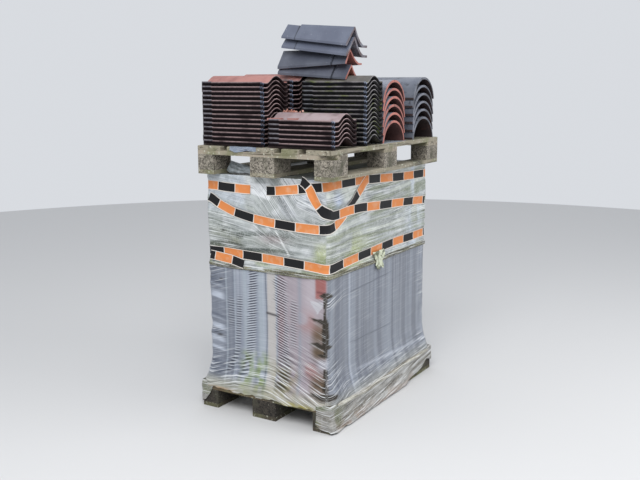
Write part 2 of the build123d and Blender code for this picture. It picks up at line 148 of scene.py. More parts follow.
fibres_along, fibres_across, fibres_through = 3.5, 60, 90
crack, algae = (0.09, 0.075, 0.05), (0.15, 0.155, 0.075)
wet_stain, lichen = (0.06, 0.055, 0.045), (0.46, 0.47, 0.38)


def board_material(name, along, bare, grey):
    """Sawn wood with the grain along one axis: bare wood, grey weathering, algae and lichen."""
    material, tree, shader = new_material(name, 0.85)
    place = object_place(tree)
    fibres = Vector((fibres_across, fibres_across, fibres_through))
    fibres[along] = fibres_along
    grain = drawn_noise(tree, place, fibres, 6.0)
    wood = mixed(tree, grain, bare, grey)
    wood = mixed(tree, between(tree, grain, 0.52, 0.66), wood, crack)
    wood = stained(
        tree, place, wood,
        (9.0, 0.48, 0.66, 4.0, 0.7, algae), (5.0, 0.60, 0.76, 4.0, 1.0, wet_stain),
        (75.0, 0.60, 0.67, 6.0, 0.8, lichen),
    )
    colour_with(tree, shader, wood)
    relief(tree, shader, grain, 0.003)
    return material


chips_per_metre = 165.0


def block_material(name, dark, light):
    """Pressed chips: flat light and dark cells, with dirt and algae over them."""
    material, tree, shader = new_material(name, 0.9)
    place = object_place(tree)
    shade = cells_of(tree, place, chips_per_metre)
    wood = stained(
        tree, place, mixed(tree, shade, dark, light),
        (14.0, 0.45, 0.75, 4.0, 1.0, (0.07, 0.068, 0.045)),
        (90.0, 0.66, 0.72, 4.0, 0.6, (0.40, 0.39, 0.32)),
    )
    colour_with(tree, shader, wood)
    relief(tree, shader, shade, 0.0015)
    return material


def give(names, material):
    """Puts one material on CAD nodes."""
    for name in names:
        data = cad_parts[name].data
        data.materials.clear()
        data.materials.append(material)


boards_across = board_material("boards_across", 0, (0.33, 0.27, 0.20), (0.27, 0.25, 0.21))
boards_along = board_material("boards_along", 1, (0.28, 0.235, 0.17), (0.23, 0.225, 0.18))
dry_chips = block_material("dry_chips", (0.055, 0.047, 0.038), (0.35, 0.315, 0.26))
# The lower pallet's three materials are darker than the upper one's: painted shade.
shaded_chips = block_material("shaded_chips", (0.012, 0.010, 0.008), (0.055, 0.046, 0.036))
shaded_across = board_material("shaded_boards_across", 0, (0.16, 0.105, 0.05), (0.10, 0.085, 0.055))
shaded_along = board_material("shaded_boards_along", 1, (0.05, 0.038, 0.024), (0.065, 0.058, 0.042))
stringers, deck_boards = (1, 2, 3), (1, 2, 3, 4, 5)
for pallet, across, along, chips in (
    ("lower_pallet", shaded_across, shaded_along, shaded_chips),
    ("upper_pallet", boards_across, boards_along, dry_chips),
):
    give([f"{pallet}_stringer_{number}" for number in stringers], across)
    give([f"{pallet}_bottom_board_{number}" for number in stringers], along)
    give([f"{pallet}_deck_board_{number}" for number in deck_boards], along)
    give([f"{pallet}_blocks"], chips)

# Steel nails hold each deck board to its stringers, two or three to a crossing, driven flush and
# rusty. Geometry nodes put a flat head on each point, a little aside of it.


def mesh_object(name, points, faces, materials, smooth=True, **layers):
    """A mesh that carries a vector of each layer for each point."""
    data = bpy.data.meshes.new(name)
    data.from_pydata(points, [], faces)
    for material in materials:
        data.materials.append(material)
    for layer, values in layers.items():
        values = np.asarray(values, dtype=float).reshape(-1, 3)
        data.attributes.new(layer, "FLOAT_VECTOR", "POINT").data.foreach_set("vector", values.ravel())
    data.polygons.foreach_set("use_smooth", [smooth] * len(data.polygons))
    data.update()
    made = bpy.data.objects.new(name, data)
    scene.collection.objects.link(made)
    return made


def random_part(tree, seed, low, high):
    """A random vector for each point."""
    made = node(tree, "FunctionNodeRandomValue", {0: low, 1: high, "Seed": seed}, data_type="FLOAT_VECTOR")
    return made.outputs["Value"]


def scaled(tree, vector, factor):
    """A vector times a number."""
    return node(tree, "VectorMath", {0: vector, "Scale": factor}, operation="SCALE").outputs["Vector"]


def set_aside(tree, points, seed, reach):
    """Points that each moved a random way over the level, by no more than the reach on each axis."""
    offset = scaled(tree, random_part(tree, seed, (-1, -1, 0), (1, 1, 0)), reach)
    return node(tree, "GeometryNodeSetPosition", {"Geometry": points, "Offset": offset}).outputs["Geometry"]


def on_points(tree, points, shape, **turned):
    """A copy of a shape on each point."""
    given = {"Points": points, "Instance": shape, **turned}
    return node(tree, "GeometryNodeInstanceOnPoints", given).outputs["Instances"]


def realized(tree, copies):
    """Copies turned into one mesh."""
    return node(tree, "GeometryNodeRealizeInstances", {"Geometry": copies}).outputs["Geometry"]


def with_material(tree, geometry, material, chosen=True):
    """Geometry whose chosen faces have a material."""
    given = {"Geometry": geometry, "Selection": chosen, "Material": material}
    return node(tree, "GeometryNodeSetMaterial", given).outputs["Geometry"]


def new_nodes(name, **sockets):
    """A tree of geometry nodes with named inputs, and the node that gives them."""
    tree = bpy.data.node_groups.new(name, "GeometryNodeTree")
    tree.interface.new_socket("Base", in_out="INPUT", socket_type="NodeSocketGeometry")
    for socket, kind in sockets.items():
        tree.interface.new_socket(socket, in_out="INPUT", socket_type="NodeSocket" + kind)
    tree.interface.new_socket("Result", in_out="OUTPUT", socket_type="NodeSocketGeometry")
    return tree, tree.nodes.new("NodeGroupInput").outputs


def end_nodes(tree, geometry):
    """Ends a tree in its result."""
    tree.links.new(geometry, tree.nodes.new("NodeGroupOutput").inputs[0])


def grow(made, tree, **values):
    """Runs a tree of geometry nodes on an object, keeps the mesh that it makes, and lets it ride."""
    modifier = made.modifiers.new(tree.name, "NODES")
    modifier.node_group = tree
    for socket in tree.interface.items_tree:
        if socket.name in values:
            modifier[socket.identifier] = values[socket.name]
    evaluated = made.evaluated_get(bpy.context.evaluated_depsgraph_get())
    grown = bpy.data.meshes.new_from_object(evaluated)
    made.modifiers.remove(modifier)
    made.data = grown
    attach(made, "root")
    return made


rusty_steel, tree, shader = new_material("rusty_nail_steel", 0.6)
place = object_place(tree)
rust = mixed(tree, spots(tree, place, 60.0, 0.35, 0.65), (0.055, 0.035, 0.025), (0.16, 0.13, 0.11))
colour_with(tree, shader, rust)
shader.inputs["Metallic"].default_value = 0.4
nail_tree, given = new_nodes(
    "nail_heads", Radius="Float", Thickness="Float", Aside="Float", Seed="Int", Steel="Material",
)
nails = set_aside(nail_tree, given["Base"], given["Seed"], given["Aside"])
head_size = {"Vertices": 10, "Radius": given["Radius"], "Depth": given["Thickness"]}
head = node(nail_tree, "GeometryNodeMeshCylinder", head_size).outputs["Mesh"]
nails = realized(nail_tree, on_points(nail_tree, nails, head))
end_nodes(nail_tree, with_material(nail_tree, nails, given["Steel"]))
wide_board = 0.12
three_nails, two_nails = (0.2, 0.5, 0.8), (0.3, 0.7)
for pallet, seed in (("lower_pallet", 91), ("upper_pallet", 92)):
    places = []
    for board in deck_boards:
        board_low, board_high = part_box(f"{pallet}_deck_board_{board}")
        width = board_high.x - board_low.x
        for stringer in stringers:
            stringer_low, stringer_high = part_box(f"{pallet}_stringer_{stringer}")
            for number, part in enumerate(three_nails if width > wide_board else two_nails):
                zigzag = 0.35 if number % 2 else 0.65
                y = stringer_low.y + zigzag * (stringer_high.y - stringer_low.y)
                places.append((board_low.x + part * width, y, board_high.z))
    heads = mesh_object(f"{pallet}_nails", places, [], [])
    grow(heads, nail_tree, Radius=0.004, Thickness=0.0005, Aside=0.008, Seed=seed, Steel=rusty_steel)

# The load is seven layers of roof tiles of fired clay, packed close inside the wrap. Hardly any of
# them shows, so they keep their plain solids in dark clay.
load_clay, tree, shader = new_material("load_clay", 0.75)
place = object_place(tree)
colour = mixed(tree, spots(tree, place, 11.0, 0.4, 0.6), (0.07, 0.06, 0.065), (0.16, 0.07, 0.055))
colour_with(tree, shader, colour)
give([f"tile_layer_{number}" for number in range(1, 8)], load_clay)

# The lower wrap is a tight skin of clear stretch film, wound round the load and drawn in between the
# tiles. It is a grid of points that walks the load's outline: distance 0 is the front right corner,
# and it grows along the right side. Relief and colours come from the same few features.
load_low, load_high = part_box("tile_layer_7")
load_top = load_high.z
corner_radius = 0.018
quarter = corner_radius * math.pi / 2
run_x = load_high.x - load_low.x - 2 * corner_radius
run_y = load_high.y - load_low.y - 2 * corner_radius
outline_length = 2 * (run_x + run_y) + 4 * quarter
sides = (
    ((1, 0), (0, 1), run_y), ((0, 1), (-1, 0), run_x), ((-1, 0), (0, -1), run_y), ((0, -1), (1, 0), run_x),
)


def outline(distance):
    """The load's outline at each distance along it: x, y and the two parts of its outward direction."""
    distance = np.mod(distance, outline_length)
    result = np.zeros(distance.shape + (4,))
    at = quarter / 2
    start = np.array((load_high.x, load_low.y + corner_radius))
    for facing, heading, run in sides:
        facing, heading = np.array(facing), np.array(heading)
        on = (distance >= at) & (distance < at + run)
        result[on, :2] = start + heading * (distance[on, None] - at)
        result[on, 2:] = facing
        centre = start + heading * run - facing * corner_radius
        turned = np.mod(distance - at - run, outline_length) / quarter * math.pi / 2
        on = turned < math.pi / 2
        way = facing * np.cos(turned[on, None]) + heading * np.sin(turned[on, None])
        result[on, :2] = centre + corner_radius * way
        result[on, 2:] = way
        start = centre + heading * corner_radius
        at += run + quarter
    return result


def smooth_noise(x, y, seed):
    """Smooth random numbers from 0 to 1 over a plane, one cell to a unit. Each pattern has a seed."""
    cells = 256
    table = np.random.default_rng(seed).random((cells, cells))
    column, row = np.floor(x).astype(int), np.floor(y).astype(int)
    across, up = x - column, y - row
    across, up = across * across * (3 - 2 * across), up * up * (3 - 2 * up)
    column, row = column % cells, row % cells
    beside, above = (column + 1) % cells, (row + 1) % cells
    low = table[row, column] * (1 - across) + table[row, beside] * across
    high = table[above, column] * (1 - across) + table[above, beside] * across
    return low * (1 - up) + high * up


def bell(value, middle, width):
    """A smooth hump of height 1 that has fallen to about a third at the width."""
    return np.exp(-(((value - middle) / width) ** 2))


def step(value, low, high):
    """A smooth rise from 0 at low to 1 at high."""
    part = np.clip((value - low) / (high - low), 0, 1)
    return part * part * (3 - 2 * part)


def up_to(value, low, high):
    """A smooth fall from 1 at low to 0 at high."""
    return step(-value, -high, -low)


def paint(shape, ground, *coats):
    """A ground colour for each point, under coats of another colour each, laid over by a mask. All
    colours are given as seen on screen."""
    colours = np.zeros(shape + (3,)) + ground
    for colour, mask in coats:
        colours = colours * (1 - mask[..., None]) + np.array(colour) * mask[..., None]
    return colours


screen_gamma = 2.2


def film_piece(name, replaced, slot, points, faces, material, **layers):
    """A shown film or tape that rides on the object in place of a CAD node."""
    if "paint" in layers:
        layers["paint"] = np.clip(layers["paint"], 0, 1) ** screen_gamma
    made = mesh_object(name, points.reshape(-1, 3), faces, [material], **layers)
    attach(made, "root")
    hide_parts(replaced)
    return made


def grid_faces(rows, columns, closed=False):
    """The faces of a grid of points, row by row, closed round along its rows or not."""
    last = columns if closed else columns - 1
    return [
        (
            row * columns + column,
            row * columns + (column + 1) % columns,
            (row + 1) * columns + (column + 1) % columns,
            (row + 1) * columns + column,
        )
        for row in range(rows - 1)
        for column in range(last)
    ]


def read(tree, name):
    """A vector that the mesh carries for each point."""
    return node(tree, "Attribute", {}, attribute_name=name).outputs["Vector"]


def part_of(tree, vector, axis):
    """One part of a vector."""
    return node(tree, "SeparateXYZ", {"Vector": vector}).outputs[axis]


def film_material(name, roughness, bump, crumple):
    """Film in the colours that its mesh carries, with fine creases that run along its flow lines,
    painted as glints and painted shade, facets where it is crumpled, painted lighter and darker as
    painted light and shade, and rungs in its ladders painted as shade, with painted highlights beside them."""
    creases = (6.0, 140.0, 0.0)
    facet_scale = 42.0
    material, tree, shader = new_material(name, roughness)
    place = object_place(tree)
    flow = read(tree, "flow")
    strength = part_of(tree, flow, "Z")
    lines = drawn_noise(tree, flow, creases, 5.0)
    crease_highlights = times(tree, between(tree, lines, 0.54, 0.64), strength, 0.75)
    crease_shade = times(tree, between(tree, lines, 0.47, 0.37), strength, 0.75)
    facet = cells_of(tree, place, facet_scale)
    facets = {"Vector": place, "Scale": facet_scale}
    borders = node(tree, "TexVoronoi", facets, feature="DISTANCE_TO_EDGE").outputs["Distance"]
    border = between(tree, borders, 0.05, 0.0)
    glints = maths(tree, "MAXIMUM", crease_highlights, times(tree, border, crumple, 0.5))
    ladder = read(tree, "ladder")
    on = part_of(tree, ladder, "X")
    rung = maths(tree, "PINGPONG", part_of(tree, ladder, "Y"), 1.0)
    colour = read(tree, "paint")
    # Painted shade in the creases, on darker facets and in the ladders' rungs, painted highlights beside
    # the rungs, and painted glints along the creases and the facets' borders.
    for mask, shade, blend in (
        (crease_shade, (0.30, 0.31, 0.32), "MULTIPLY"),
        (times(tree, facet, crumple, 0.7), (0.50, 0.51, 0.51), "MULTIPLY"),
        (times(tree, between(tree, rung, 0.44, 0.62), on, 0.95), (0.17, 0.18, 0.21), "MULTIPLY"),
        (times(tree, between(tree, rung, 0.34, 0.12), on, 0.8), (0.56, 0.59, 0.64), "MIX"),
        (glints, (0.70, 0.72, 0.73), "MIX"),
    ):
        colour = mixed(tree, mask, colour, shade, blend)
    colour_with(tree, shader, colour)
    shader.inputs["Specular IOR Level"].default_value = 0.45
    relief(tree, shader, maths(tree, "ADD", lines, times(tree, facet, crumple)), bump)
    return material


def front_marks(places):
    """Distances along the outline of x positions on the front face."""
    return [x - load_high.x + corner_radius - quarter / 2 for x in places]


def right_marks(places):
    """Distances along the outline of y positions on the right face."""
    return [y - load_low.y - corner_radius + quarter / 2 for y in places]


def from_corner(distance):
    """How far points are along the outline from the front right corner, the shorter way round."""
    return np.mod(distance + outline_length / 2, outline_length) - outline_length / 2


def film_sides(distance):
    """Each point's x and y on the outline, and masks of the front and of the right face."""
    x, y, facing_x, facing_y = np.moveaxis(outline(distance), -1, 0)
    return x, y, step(-facing_y, 0.6, 0.95), step(facing_x, 0.6, 0.95)


# Ladders of ripples, where the film bridges the ends of the tiles: distances from the corner at
# heights from low to high, half width, slope and strength. The last four stand on the hidden sides.
ladders = (
    (front_marks((-0.222, -0.222)), (0.46, 0.64), 0.020, 0.0, 0.55),
    (front_marks((-0.246, -0.189, -0.177, -0.164)), (0.209, 0.315, 0.47, 0.65), 0.017, 0.05, 0.8),
    (
        front_marks((-0.139, -0.12, -0.101, -0.088, -0.075)), (0.20, 0.29, 0.366, 0.585, 0.80),
        0.026, 0.25, 1.0,
    ),
    (
        front_marks((0.098, 0.116, 0.101, 0.095, 0.085)), (0.169, 0.259, 0.414, 0.61, 0.79),
        0.036, -0.32, 1.0,
    ),
    (front_marks((0.165, 0.172)), (0.40, 0.67), 0.020, -0.20, 0.7),
    (right_marks((0.512, 0.515)), (0.29, 0.72), 0.020, 0.30, 0.7),
    ((1.32, 1.30), (0.25, 0.70), 0.024, 0.1, 0.7),
    ((1.62, 1.60), (0.30, 0.74), 0.022, -0.1, 0.7),
    ((-0.98, -1.00), (0.22, 0.70), 0.024, 0.1, 0.7),
    ((-1.40, -1.38), (0.30, 0.66), 0.022, 0.2, 0.6),
)
# Rungs counted from the foot up: 19 mm apart at the foot and 13.5 mm above it.
ladder_rungs = ((0.10, 0.33, 0.80), (0.0, 12.1, 46.9))

# Notches in the front right corner, where the film is drawn in between the tiles: height, reach
# along the front, reach along the right face, half height.
corner_notches = (
    (0.696, 0.030, 0.045, 0.013),
    (0.562, 0.080, 0.008, 0.009),
    (0.435, 0.085, 0.040, 0.013),
    (0.385, 0.045, 0.008, 0.010),
    (0.178, 0.070, 0.050, 0.015),
)


def ladder_parts(distance, height):
    """The ladders' mask and the phase of their rungs."""
    corner = from_corner(distance)
    mask, phase = np.zeros(height.shape), np.zeros(height.shape)
    for number, (marks, heights, width, slope, strength) in enumerate(ladders):
        beside = corner - np.interp(height, heights, marks)
        ragged = width * (0.8 + 0.5 * smooth_noise(corner * 0 + number, height * 70, 3))
        foot, head = heights[0], heights[-1]
        on = strength * np.exp(-np.abs(beside / ragged) ** 5)
        on = on * step(height, foot - 0.02, foot + 0.03) * up_to(height, head - 0.04, head)
        wander = 0.9 * smooth_noise(corner * 9, height * 14, 4)
        rung = 2 * np.interp(height - slope * beside, *ladder_rungs) + wander
        phase = np.where(on > mask, rung, phase)
        mask = np.maximum(mask, on)
    return mask, phase


def notch_mask(distance, height):
    """Where the corner's notches and the line between them are: drawn in, and painted dark as painted
    shade.
    """
    corner = from_corner(distance) + 0.004
    waver = 0.010 * (smooth_noise(distance * 45, height * 45, 5) - 0.5)
    mask = np.zeros(height.shape)
    for middle, before, after, half in corner_notches:
        there = bell(corner, 0, np.where(corner < 0, before, after))
        level = bell(height + 0.12 * corner + waver, middle, half * (0.35 + 0.65 * there))
        mask = np.maximum(mask, there * level)
    line = bell(corner + 0.8 * waver, -0.002, 0.006 + 0.012 * bell(height, 0.50, 0.06))
    low_stretch = step(height, 0.17, 0.19) * up_to(height, 0.31, 0.33)
    high_stretch = step(height, 0.37, 0.39) * up_to(height, 0.68, 0.70)
    return np.clip(np.maximum(mask, 0.8 * line * (low_stretch + high_stretch)), 0, 1)


def lower_flow(distance, height):
    """The lower film's flow: along its creases, across them, and how strong they are."""
    _, y, front, right = film_sides(distance)
    corner = from_corner(distance)
    marks = (-1.80, -0.70, -0.54, -0.34, -0.30, 0.0, 0.15, 1.10, 1.80)
    risen = (0.0, 0.0, -0.048, -0.055, -0.050, 0.065, 0.020, -0.020, 0.0)
    across = height + np.interp(corner, marks, risen)
    gate = step(smooth_noise(distance * 5, height * 12, 6), 0.35, 0.7)
    strength = 0.12 + front * up_to(height, 0.24, 0.38) * 0.9
    strength += front * step(corner, -0.30, -0.20) * up_to(height, 0.38, 0.47) * 0.6
    strength += bell(corner, -0.68, 0.06) * gate * 0.9
    drawn_in = bell(height, 0.66, 0.045) + bell(height, 0.47, 0.035) + up_to(height, 0.34, 0.40)
    by_corner = np.where(corner > 0, np.exp(-corner / 0.11), np.exp(corner / 0.03))
    strength += by_corner * np.clip(drawn_in, 0, 1) * (0.4 + 0.6 * gate)
    strength += right * (up_to(height, 0.18, 0.30) * 0.5 + step(y, 0.40, 0.52) * gate * 0.7)
    return np.stack((distance, across, np.clip(strength, 0, 1)), axis=-1)


def lower_offset(height):
    """How far the lower film stands off the load, without relief: it flares to the pallet's edge."""
    heights = (0.09, 0.146, 0.19, 0.24, 0.30, 0.43, 0.80)
    return np.interp(height, heights, (0.0425, 0.0415, 0.026, 0.012, 0.0045, 0.0015, 0.0035))


def lower_relief(distance, height):
    """The lower film's relief over its own offset."""
    x, _, _, right = film_sides(distance)
    mask, phase = ladder_parts(distance, height)
    flow = lower_flow(distance, height)
    clear_of_load = 0.001
    tight = 0.0012 * smooth_noise(distance * 30, height * 16, 9)
    sheets = 0.0022 * smooth_noise(distance * 7, height * 3, 10) * step(height, 0.3, 0.45)
    folds = 0.005 * smooth_noise(flow[..., 0] * 6, flow[..., 1] * 60, 8) * flow[..., 2]
    edge = 0.007 * bell(x, -0.36, 0.04) * smooth_noise(x * 3, height * 22, 11) ** 2 * (1 - right)
    rungs = 0.0034 * mask * (0.5 - 0.5 * np.cos(math.pi * phase))
    drawn_in = 1 - 0.9 * notch_mask(distance, height)
    return (tight + sheets + folds + edge + rungs) * drawn_in + clear_of_load


def lower_paint(distance, height):
    """The lower film's colours: milky film, with the tiles, the dirt and the algae behind it, painted
    shade on the right side, in the seam between the stacks and in the corner's notches, and painted
    glints and a painted highlight. Places are in metres: x along the front, y along the right side,
    corner from the edge between them."""
    x, y, front, right = film_sides(distance)
    corner = from_corner(distance)
    broad = smooth_noise(distance * 34, height * 0.8, 12)
    fine = smooth_noise(distance * 95, height * 1.4, 13)
    mottle = smooth_noise(distance * 16, height * 16, 14)
    glints = smooth_noise(x * 4, (height + 0.2 * x) * 60, 17)
    bands = step(smooth_noise(x * 22, height * 1.6, 15), 0.40, 0.75)
    algae = front * step(smooth_noise(x * 42, height * 26, 18), 0.25, 0.75)
    left = front * step(-x, 0.24, 0.30)
    pink = front * step(x, 0.062, 0.085)
    wood = front * up_to(height, 0.115, 0.135)
    band_places = ((-0.253, 0.005), (-0.199, 0.005), (-0.132, 0.016), (-0.032, 0.024))
    light_bands = sum(bell(x, middle, width) for middle, width in band_places)
    reddish = up_to(x, 0.17, 0.21) * (0.3 + bell(height, 0.50, 0.10))
    seam_between_stacks = bell(x + 0.004 * np.sin(height * 9), 0.0, 0.004)
    ticks = bell(height, 0.562 - 0.1 * (x - 0.04), 0.0055)
    ticks = ticks * step(x, -0.004, 0.004) * up_to(x, 0.078, 0.087)
    ticks += bell(height, 0.712, 0.005) * bell(x, -0.283, 0.012)
    ticks += bell(height, 0.405, 0.006) * bell(x, -0.300, 0.016)
    brown_levels = bell(height, 0.50, 0.05) + bell(height, 0.40, 0.03) + bell(height, 0.24, 0.05)
    brown = front * step(corner, -0.105, -0.05) * step(mottle, -0.3, 0.4) * brown_levels
    rust_levels = bell(height, 0.55, 0.05) + bell(height, 0.30, 0.05)
    rust = front * bell(x, 0.26, 0.07) * rust_levels * step(mottle, 0.3, 0.7)
    seams = [
        bell(height, level + slope * (y + 0.32), 0.0035)
        * step(y, -0.36, -0.30) * up_to(y, 0, 0.20) * right
        for level, slope in ((0.672, 0.045), (0.402, -0.02))
    ]
    fold = right * bell(height, 0.245 - 0.05 * (y + 0.3), 0.008) * step(y, -0.36, -0.25)
    green = bell(x, -0.03, 0.045) * up_to(height, 0.28, 0.38)
    green += bell(x, -0.125, 0.035) * up_to(height, 0.30, 0.36)
    ochre = bell(x, 0.12, 0.06)
    corner_highlight = step(bell(corner, -0.018, 0.035) * bell(height, 0.345, 0.030), 0.1, 0.9)
    torn_patch = (np.abs(corner + 0.047) < 0.75 * (height - 0.600)) * (height < 0.662)
    return paint(
        height.shape, (0.55, 0.57, 0.612),
        # upright clouds and fine lines, then painted shade on the right side, the darker left end, and
        # painted glints along the left end with dark streaks between them
        ((0.64, 0.67, 0.72), step(broad, 0.35, 0.9) * 0.8),
        ((0.46, 0.485, 0.545), step(1 - broad, 0.45, 0.95) * 0.75),
        ((0.70, 0.72, 0.76), step(fine, 0.65, 0.95) * 0.45),
        ((0.42, 0.44, 0.49), step(1 - fine, 0.65, 0.95) * 0.4),
        ((0, 0, 0), 0.17 * right),
        ((0.40, 0.42, 0.465), front * step(-x, 0.195, 0.21) * 0.7),
        ((0.74, 0.77, 0.82), left * step(glints, 0.66, 0.9) * 0.8),
        ((0.33, 0.355, 0.41), left * step(1 - glints, 0.6, 0.85) * 0.8),
        ((0.60, 0.635, 0.67), front * light_bands * 0.85),
        ((0.50, 0.52, 0.56), front * bell(x, -0.228, 0.008) * 0.6),
        # the pink tiles behind the right half of the front
        ((0.60, 0.56, 0.585), pink * 0.9),
        ((0.62, 0.46, 0.47), pink * bands * np.clip(reddish, 0, 1) * 0.6),
        ((0.70, 0.665, 0.69), pink * bell(x, 0.27, 0.05) * step(height, 0.45, 0.6) * 0.6),
        ((0.54, 0.55, 0.59), pink * bell(x, 0.205, 0.012) * 0.8),
        # the pale strip, painted shade in the seam between the stacks in the middle, and dark ticks
        ((0.69, 0.675, 0.665), front * step(x, 0.004, 0.012) * up_to(x, 0.056, 0.064) * 0.95),
        ((0.36, 0.385, 0.43), front * seam_between_stacks * 0.85),
        ((0.20, 0.19, 0.20), front * ticks * 0.85),
        # bare clay, mud and rust by the front right corner
        ((0.56, 0.31, 0.29), front * step(x, 0.292, 0.305) * step(height, 0.674, 0.684) * 0.8),
        ((0.40, 0.24, 0.25), front * bell(height, 0.712, 0.005) * step(x, 0.295, 0.31) * 0.8),
        ((0.34, 0.28, 0.21), np.clip(brown, 0, 1) * 0.95),
        ((0.58, 0.42, 0.41), np.clip(rust, 0, 1) * 0.7),
        # light streaks, seams and a fold on the right side
        ((0.70, 0.73, 0.78), right * (bell(y, -0.343, 0.012) + 0.6 * bell(y, 0.512, 0.03)) * 0.7),
        *(((0.34, 0.36, 0.40), seam * 0.85) for seam in seams),
        ((0.74, 0.76, 0.80), fold * step(smooth_noise(y * 6, height * 2, 16), 0.2, 0.5) * 0.6),
        # algae and dirt low down, and the pallet's wood through the flared foot
        ((0.46, 0.53, 0.30), np.clip(algae * green, 0, 1) * 0.8),
        ((0.50, 0.47, 0.31), np.clip(algae * ochre, 0, 1) * up_to(height, 0.26, 0.36) * 0.85),
        ((0.64, 0.63, 0.56), (1 - 0.5 * right) * up_to(height, 0.14, 0.21) * 0.75),
        ((0.66, 0.50, 0.33), wood * bell(x, -0.27, 0.07) * 0.8),
        ((0.58, 0.54, 0.24), wood * bell(x, 0.22, 0.09) * step(mottle, 0.2, 0.5) * 0.8),
        # a painted highlight, a pale torn patch, and painted shade in the notches on the corner
        ((0.72, 0.74, 0.78), corner_highlight * 0.6),
        ((0.73, 0.74, 0.76), torn_patch * 0.65),
        ((0.155, 0.13, 0.095), step(notch_mask(distance, height), 0.15, 0.55) * 0.95),
    )


def film_layers(distance, height, flow, colours):
    """The vectors a film's mesh carries."""
    mask, phase = ladder_parts(distance, height)
    return {"paint": colours, "flow": flow, "ladder": np.stack((mask, phase, 0 * mask), axis=-1)}


def wrap_points(distance, height, offset):
    """Points in space at an offset from the load's outline."""
    place = outline(distance)
    flat = place[..., :2] + place[..., 2:] * offset[..., None]
    return np.dstack((flat[..., 0], flat[..., 1], height))


tight_film = film_material("tight_film", 0.34, 0.0005, 0.0)
film_cell = 0.0055
columns = int(outline_length / film_cell)
around = np.linspace(0, outline_length, columns, endpoint=False)
lower_rows = 132
lap_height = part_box("lower_film")[1].z
lowest_edge, edge_height = 0.099, 0.115
torn_edge = lowest_edge + 0.018 * smooth_noise(around * 9, 0, 19)
torn_edge = torn_edge + 0.012 * smooth_noise(around * 40, 0, 20)
part = np.linspace(0, 1, lower_rows)[:, None]
height = torn_edge * (1 - part) + lap_height * part
distance = np.broadcast_to(around, height.shape)
offset = lower_offset(height) + lower_relief(distance, height)
lower_film = film_piece(
    "lower_film_wrap", "lower_film", "stretch_film",
    wrap_points(distance, height, offset), grid_faces(lower_rows, columns, True), tight_film,
    **film_layers(distance, height, lower_flow(distance, height), lower_paint(distance, height)),
)

# The upper wrap is slack dirty film in long folds, down to a hem rolled up over the lower film's top.
# The tapes press it down, so their paths stand here: distances from the corner, and heights.
round_left = front_marks([-0.335])[0] - run_y
round_again = round_left + outline_length
tape_paths = {
    "tape_top": (
        [round_left, *front_marks([-0.315, -0.237, -0.135, 0.05, 0.133, 0.215, 0.301]),
         *right_marks([-0.51, -0.363, -0.228, -0.086, 0.052, 0.186, 0.339, 0.535]), round_again],
        [1.205, 1.207, 1.201, 1.198, 1.198, 1.208, 1.218, 1.230,
         1.240, 1.240, 1.238, 1.230, 1.222, 1.214, 1.208, 1.203, 1.205],
    ),
    "tape_bottom": (
        [round_left, *front_marks([-0.333, -0.26, -0.137, -0.018, 0.111, 0.235, 0.345]),
         *right_marks([-0.535, -0.491, -0.411, -0.256, 0.002, 0.159, 0.366, 0.535]), round_again],
        [0.851, 0.861, 0.863, 0.857, 0.853, 0.847, 0.841, 0.833,
         0.827, 0.830, 0.836, 0.843, 0.851, 0.856, 0.852, 0.854, 0.851],
    ),
    "tape_slack": (
        [*front_marks([-0.345, -0.311, -0.279, -0.227, -0.176, -0.063, 0.065, 0.184, 0.328]),
         *right_marks([-0.539, -0.491, -0.452, -0.402, -0.332, -0.27, -0.207, -0.155])],
        [1.150, 1.131, 1.111, 1.091, 1.073, 1.051, 1.036, 1.028, 1.026,
         1.030, 1.040, 1.059, 1.088, 1.129, 1.171, 1.215, 1.245],
    ),
    "tape_cross": (
        [*front_marks([0.222, 0.250, 0.272, 0.295, 0.317, 0.340]),
         *right_marks([-0.545, -0.462, -0.382, -0.248, -0.026, 0.215, 0.411, 0.535])],
        [1.262, 1.250, 1.220, 1.180, 1.143, 1.118,
         1.092, 1.092, 1.098, 1.098, 1.083, 1.070, 1.057, 1.047],
    ),
}


def pressed(distance, height):
    """Where a tape presses the upper film down."""
    pressed_half, past_end = 0.036, 0.01
    corner = from_corner(distance)
    mask = np.zeros(height.shape)
    for marks, heights in tape_paths.values():
        along = (corner > marks[0] - past_end) & (corner < marks[-1] + past_end)
        from_middle = height - np.interp(corner, marks, heights)
        mask = np.maximum(mask, along * np.exp(-((from_middle / pressed_half) ** 4)))
    return mask


def upper_offset(height):
    """How far the upper film stands off the load, without relief."""
    heights = (0.78, 0.80, 0.83, 0.95, 1.10, 1.20, 1.27)
    return np.interp(height, heights, (0.008, 0.0065, 0.004, 0.007, 0.008, 0.006, 0.004))


def upper_flow(distance, height):
    """The upper film's flow: its creases fall to the right over the front and rise along the sides."""
    corner = from_corner(distance)
    marks = (-1.80, -0.70, -0.42, -0.36, -0.16, 0.0, 0.10, 1.10, 1.80)
    risen = (0.04, 0.0, 0.040, 0.095, 0.335, 0.385, 0.380, 0.310, 0.04)
    across = height + np.interp(corner, marks, risen) * step(height, 0.80, 1.05)
    across += 0.02 * smooth_noise(distance * 3, height * 3, 21)
    strength = 0.45 + 0.55 * step(smooth_noise(distance * 5, height * 9, 22), 0.3, 0.6)
    return np.stack((distance, across, strength), axis=-1)


def upper_relief(distance, height):
    """The slack film's relief: long folds along its flow over a crumpled surface."""
    flow = upper_flow(distance, height)
    folds = smooth_noise(flow[..., 0] * 4, flow[..., 1] * 28, 23) ** 2 * 0.008
    pulled = smooth_noise(flow[..., 0] * 6, flow[..., 1] * 64, 24) * 0.003
    crumple = smooth_noise(distance * 24, height * 40, 25) * 0.003
    return (folds + pulled + crumple) * (1 - 0.75 * pressed(distance, height))


